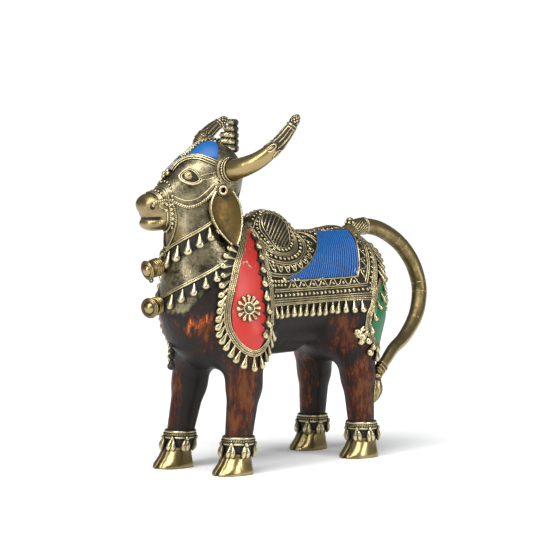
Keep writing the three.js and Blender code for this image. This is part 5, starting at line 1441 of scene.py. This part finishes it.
green_paint, haunch_trim = Bench(), Bench()
for side in (1, -1):
    chart = on_side(haunch, side)
    share = lambda t: 0.02 + 0.96 * np.sin(t * np.pi / 2)
    pad(green_paint, chart, lambda t: haunch_leaf_place(share(t), -0.93),
        lambda t: haunch_leaf_place(share(t), 0.93), 1.8, (80, 30), 1.0, 0.05)
    s = share(np.linspace(0, 1, 60))
    stops = np.vstack([np.stack(haunch_leaf_place(s, -1.0), 1),
                       np.stack(haunch_leaf_place(s, 1.0), 1)[::-1][1:]])
    rim = evenly(*chart(*stops.T), 0.8)
    n = len(rim[0])
    thread(haunch_trim, beside(*rim, side * 1.9), 0.65, 0.7)
    plait(haunch_trim, rim, 0.85, rise=0.8)
    thread(haunch_trim, beside(*rim, -side * 2.0), 0.6, 0.7)
    foot = tuple(part[int(n * 0.38):int(n * 0.62)] for part in rim)
    fringe(haunch_trim, beside(*foot, -side * 1.6), 9, 10.0, 5.4, -side, 0.0, 0.7)
    lap = tuple(part[int(n * 0.63):int(n * 0.84)] for part in rim)
    fringe(haunch_trim, beside(*lap, side * 1.2), 6, 7.4, 4.6, side, 0.0, 2.0, (3.0, 3.0))
    seat, seat_out = chart(*haunch_leaf_place(np.array([0.665]), np.array([0.1])))
    rosette(haunch_trim, seat[0], seat_out[0], 7.6)
make_piece("haunch_leaf_paint", green_paint, green_enamel)
make_piece("haunch_leaf_trim", haunch_trim, relief_brass)

# %% [markdown]
# ## The face
# The face is smooth metal with lines laid on it: a double thread over the brow, an almond lid round a ball
# eye, bands over the nose, a rope halter from nostril to ear, and a plait up the middle of the blue forehead.

# %% Eyes and brows
EYE_RIM = [(12.2, -28, 216.2), (12.8, -24.6, 220.2), (14.6, -20.4, 222.2), (18, -17, 219.2),
           (21.3, -14.6, 213.8), (20.7, -18, 211), (18.6, -22.8, 210.8), (15, -26.4, 212.8)]
BROW = [(3.6, -30.4, 220.8), (3.2, -26, 225.6), (4.4, -22.4, 228.2), (6.0, -18.9, 230), (8.8, -15.3, 231),
        (12.8, -11.3, 230.9), (17.5, -6.5, 228.9), (20.4, -1.7, 226.6)]

face_trim, eyes, eye_shade_pads = Bench(), Bench(), Bench()
for side in (1, -1):
    own = lambda u, v, z: face(side * u, v, z)
    rim = trail(own, EYE_RIM, 0.6, True)
    at, out = rim[0][:-1], rim[1][:-1]
    lay(face_trim, at + out * 0.35, out, 0.85, 6, closed=True)
    inner_at, inner_out = settle(at * 0.8 + at.mean(0) * 0.2)
    lay(face_trim, inner_at + inner_out * 0.3, inner_out, 0.5, 6, closed=True)
    seat, seat_out = own(16.2, -22.6, 216.6)
    bead(eyes, seat - seat_out * 0.6, seat_out, 3.6, 0.9, 20, 12, 0.5)
    across = unit(np.cross(seat_out[0], (0, 0, 1)))
    up = np.cross(across, seat_out[0])
    a = np.linspace(0, 2 * np.pi, 30, endpoint=False)[:, None]
    lay(face_trim, seat[0] + seat_out[0] * 1.9 + (across * np.cos(a) + up * np.sin(a)) * 2.1,
        np.broadcast_to(seat_out[0], (30, 3)), 0.42, 6, closed=True)
    brow = trail(own, BROW, 0.7)
    thread(face_trim, brow, 0.95, 1.0)
    thread(face_trim, beside(*brow, side * 1.7), 0.7, 0.4)
    thread(face_trim, beside(*brow, -side * 1.6), 0.6, 1.4)
    for stops in ([(21.3, -14.6, 213.8), (22.6, -9, 214.6), (23, -4, 216.6)],
                  [(20.6, -15.6, 216.4), (21.8, -9, 218.6), (22.6, -3.4, 219.8)]):
        thread(face_trim, trail(own, stops, 0.7), 0.6, 0.3)
    # A dark pad fills each eye rim round the ball: painted shade under the lid and in the socket.
    lids = between_stops([EYE_RIM[0], EYE_RIM[1], EYE_RIM[2], EYE_RIM[3], EYE_RIM[4]])
    under = between_stops([EYE_RIM[0], EYE_RIM[7], EYE_RIM[6], EYE_RIM[5], EYE_RIM[4]])
    pad(eye_shade_pads, own, lids, under, 0.25, (40, 16), 0.4, 0.06)
make_piece("eyes", eyes, polished_brass)
make_piece("eye_shade_pads", eye_shade_pads, ground_metal)

# %% Blue forehead and middle plait
forehead = Bench()
for side in (1, -1):
    own = lambda u, v, z: face(side * u, v, z)
    upper = between_stops([(-0.1, -30.5, 221), (-0.1, -26, 226), (-0.1, -22, 229.5), (-0.1, -14, 234.4),
                           (-0.1, -8, 238), (1.6, -2, 241.2), (4.8, 3.4, 243), (10, 4.6, 241)])
    lower = between_stops(BROW[:-1] + [(20.4, 0.6, 229.4)])
    pad(forehead, own, upper, lower, 1.5, (60, 24), 0.5, 0.12)
make_piece("forehead_paint", forehead, flat_blue_enamel)
parting = trail(face, [(0, -20.5, 230), (0, -14, 234), (0, -6, 239), (0, 1, 242.5), (0, 8, 244)], 0.6)
plait(face_trim, parting, 1.2, 0.3, 1.9)
beads(face_trim, beside(*parting, 2.7), 2.7, 0.95, 1.6)
beads(face_trim, beside(*parting, -2.7), 2.7, 0.95, 1.6)
for u, v, z in ((0, -31.5, 220), (2.9, -31.5, 217.4), (-2.9, -31.5, 217.4), (0, -33.6, 215.2)):
    seat, seat_out = face(u, v, z)
    bead(face_trim, seat + seat_out * 1.0, seat_out, 2.1, 1.0, 12, 8)

# %% Nose bands, mouth ropes and halter
def muzzle_ring(v, around):
    a = np.radians(np.atleast_1d(around))
    v = v + 0 * a
    core = from_head(0 * a, v - 2, 194 + 0 * a)
    return drape(core, head_way(np.sin(a), 0.25 * np.cos(a), np.cos(a)))

nostril_shade_discs = Bench()

def nose_band(v, reach, slant=0.0):
    return trail(muzzle_ring, [(v + slant * abs(a), a) for a in np.linspace(-reach, reach, 15)], 0.6)

for v, radius in ((-48.6, 0.6), (-47.4, 0.75), (-46.1, 0.75), (-42.2, 0.6), (-41.0, 0.6)):
    thread(face_trim, nose_band(v, 78, 0.085), radius, 0.35)
beads(face_trim, nose_band(-44.1, 78, 0.085), 2.9, 1.15)
beads(face_trim, nose_band(-38.8, 78, 0.085), 2.9, 1.15)
for side in (1, -1):
    own = lambda u, v, z: face(side * u, v, z)
    # Each nostril is a flat dark disc with rise 0: painted shade standing in for the nostril's pit.
    nostril, nostril_out = own(11.8, -49.6, 194.2)
    bead(nostril_shade_discs, nostril + nostril_out * 0.1, nostril_out, 1.9, 0.3, 14, 6)
    nostril_shade_discs.rise[-1] = np.zeros(len(nostril_shade_discs.points[-1]))
    halter = trail(own, [(12.0, -49.4, 194.8), (12.2, -47.6, 197.2), (12.6, -44, 198.6), (13.6, -36, 198.4),
                         (15, -30, 196.8), (18.6, -24.6, 194.6), (21.6, -19, 195.6), (23, -13, 199.4),
                         (23.6, -7, 205), (23, -3.4, 209.5)], 0.6)
    at, out = lifted(*evenly(*halter, 0.45), 0.7)
    lay(face_trim, at, out, 1.35, 10, 0.3, 0.14, low=0.4)
    edge = trail(own, [(14.2, -33, 201.6), (18.4, -26, 199), (21.6, -19, 200.4), (22.8, -12, 205.4),
                       (22.8, -5, 211.6)], 0.7)
    thread(face_trim, edge, 0.6, 0.25)
    for stops, radius in (([(12.6, -40.5, 197.4), (13.2, -38.4, 191.6), (12.4, -36.6, 185.4),
                            (9.4, -35, 179.6), (4.4, -34.4, 176.4), (0, -34.2, 175.6)], 1.05),
                          ([(13.4, -35, 197), (14.2, -33, 190.6), (13.2, -31, 184.2), (9.8, -29.6, 178.4),
                            (4.6, -28.8, 174.6), (0, -28.6, 173.8)], 1.0)):
        rope(face_trim, trail(own, stops, 0.6), radius, 0.3, 0.5)
    thread(face_trim, trail(own, [(12.2, -42.6, 196.6), (12.4, -40.8, 191), (11.6, -39, 185.4),
                                  (8.8, -37.4, 180.4)], 0.6), 0.7, 0.4)
    beads(face_trim, trail(own, [(13.3, -37.4, 195), (13.6, -36, 189.6), (12.9, -34.6, 183.8),
                                 (10, -33, 178.6)], 0.6), 3.6, 1.5)
    beads(face_trim, trail(own, [(13.6, -41.8, 195), (12.9, -42.2, 190.4)], 0.6), 3.4, 1.6)
    rope(face_trim, trail(own, [(23.4, -1, 212.5), (23, 2.5, 216.5), (22.5, 4, 221)], 0.6), 1.0, 0.3, 0.4)
make_piece("face_trim", face_trim, relief_brass)
make_piece("nostril_shade_discs", nostril_shade_discs, ground_metal)

# %% [markdown]
# ## Camera, floor and light
# The photograph was taken from low down in front and to the side, with a long lens, on a white table under
# soft light. Big pale lamps give brass its broad highlights, and a darker room between them gives it its
# dark edges: polished metal shows its surroundings, so the lamps matter as much as the finish.

# %% Camera
CAMERA_PLACE = (1.2266, -1.2482, 0.249)
CAMERA_TURN = 44.5
CAMERA_DOWN = 3.41
SENSOR_WIDTH = 36
LENS_IN_PIXELS = 2333
PICTURE_PIXELS = 540
camera = bpy.data.objects.new("camera", bpy.data.cameras.new("camera"))
bpy.context.scene.collection.objects.link(camera)
camera.location = (CAMERA_PLACE[0] - MODEL_MIDDLE[0] / 1000, CAMERA_PLACE[1] - MODEL_MIDDLE[1] / 1000,
                   CAMERA_PLACE[2])
camera.rotation_euler = (math.radians(90 - CAMERA_DOWN), 0, math.radians(CAMERA_TURN))
camera.data.sensor_width = SENSOR_WIDTH
camera.data.lens = SENSOR_WIDTH * LENS_IN_PIXELS / PICTURE_PIXELS
camera.data.clip_end = 50
bpy.context.scene.camera = camera
print("lens", round(camera.data.lens, 1), "mm")

# %% Floor, room and lamps
floor_mesh = bpy.data.meshes.new("floor")
floor_mesh.from_pydata([(-12, -12, 0), (12, -12, 0), (12, 12, 0), (-12, 12, 0)], [], [(0, 1, 2, 3)])
floor = bpy.data.objects.new("floor", floor_mesh)
bpy.context.scene.collection.objects.link(floor)
floor_paint, sheet = new_material("floor_paint")
place = sheet.node("ShaderNodeTexCoord").outputs["Object"]
grain = sheet.noise(place, 40.0)
close_material(sheet, sheet.mix(grain, linear(253, 253, 253), linear(255, 255, 255)),
               sheet.sum("MULTIPLY_ADD", grain, 0.1, 0.7), 0.0)
floor_mesh.materials.append(floor_paint)

world = bpy.data.worlds.new("studio")
bpy.context.scene.world = world
world.use_nodes = True
world.node_tree.nodes.clear()
sheet = Sheet(world.node_tree)
seen = sheet.node("ShaderNodeLightPath").outputs["Is Camera Ray"]
room = sheet.node("ShaderNodeBackground", {"Color": (0.95, 0.97, 1.0, 1.0), "Strength": 0.24})
white = sheet.node("ShaderNodeBackground", {"Color": (1.0, 1.0, 1.0, 1.0), "Strength": 1.05})
mixed = sheet.node("ShaderNodeMixShader", {0: seen, 1: room.outputs[0], 2: white.outputs[0]})
sheet.node("ShaderNodeOutputWorld", {"Surface": mixed.outputs[0]})

def lamp(name, place, aim, size, power, color=(1, 1, 1)):
    data = bpy.data.lights.new(name, "AREA")
    data.shape = "RECTANGLE"
    data.size, data.size_y = size
    data.energy = power
    data.color = color
    made = bpy.data.objects.new(name, data)
    made.location = place
    made.rotation_euler = (Vector(aim) - Vector(place)).to_track_quat("-Z", "Y").to_euler()
    bpy.context.scene.collection.objects.link(made)

sky = bpy.data.objects.new("overhead", bpy.data.lights.new("overhead", "SUN"))
sky.data.energy = 3.15
sky.data.angle = math.radians(50)
sky.rotation_euler = (math.radians(24), math.radians(14), 0)
bpy.context.scene.collection.objects.link(sky)
lamp("window_left", (0.1, -1.7, 0.9), (0, 0, 0.14), (0.35, 1.1), 13)
lamp("window_right", (1.7, 0.35, 0.8), (0, 0, 0.14), (0.3, 1.0), 13)
bpy.context.scene.view_settings.view_transform = "Standard"

# %% [markdown]
# ## Bring the scene up to date
# The dressed bull must fill the same box as the imported model, whose box was printed when it was opened.

# %% Bring the scene up to date
bpy.context.view_layer.update()
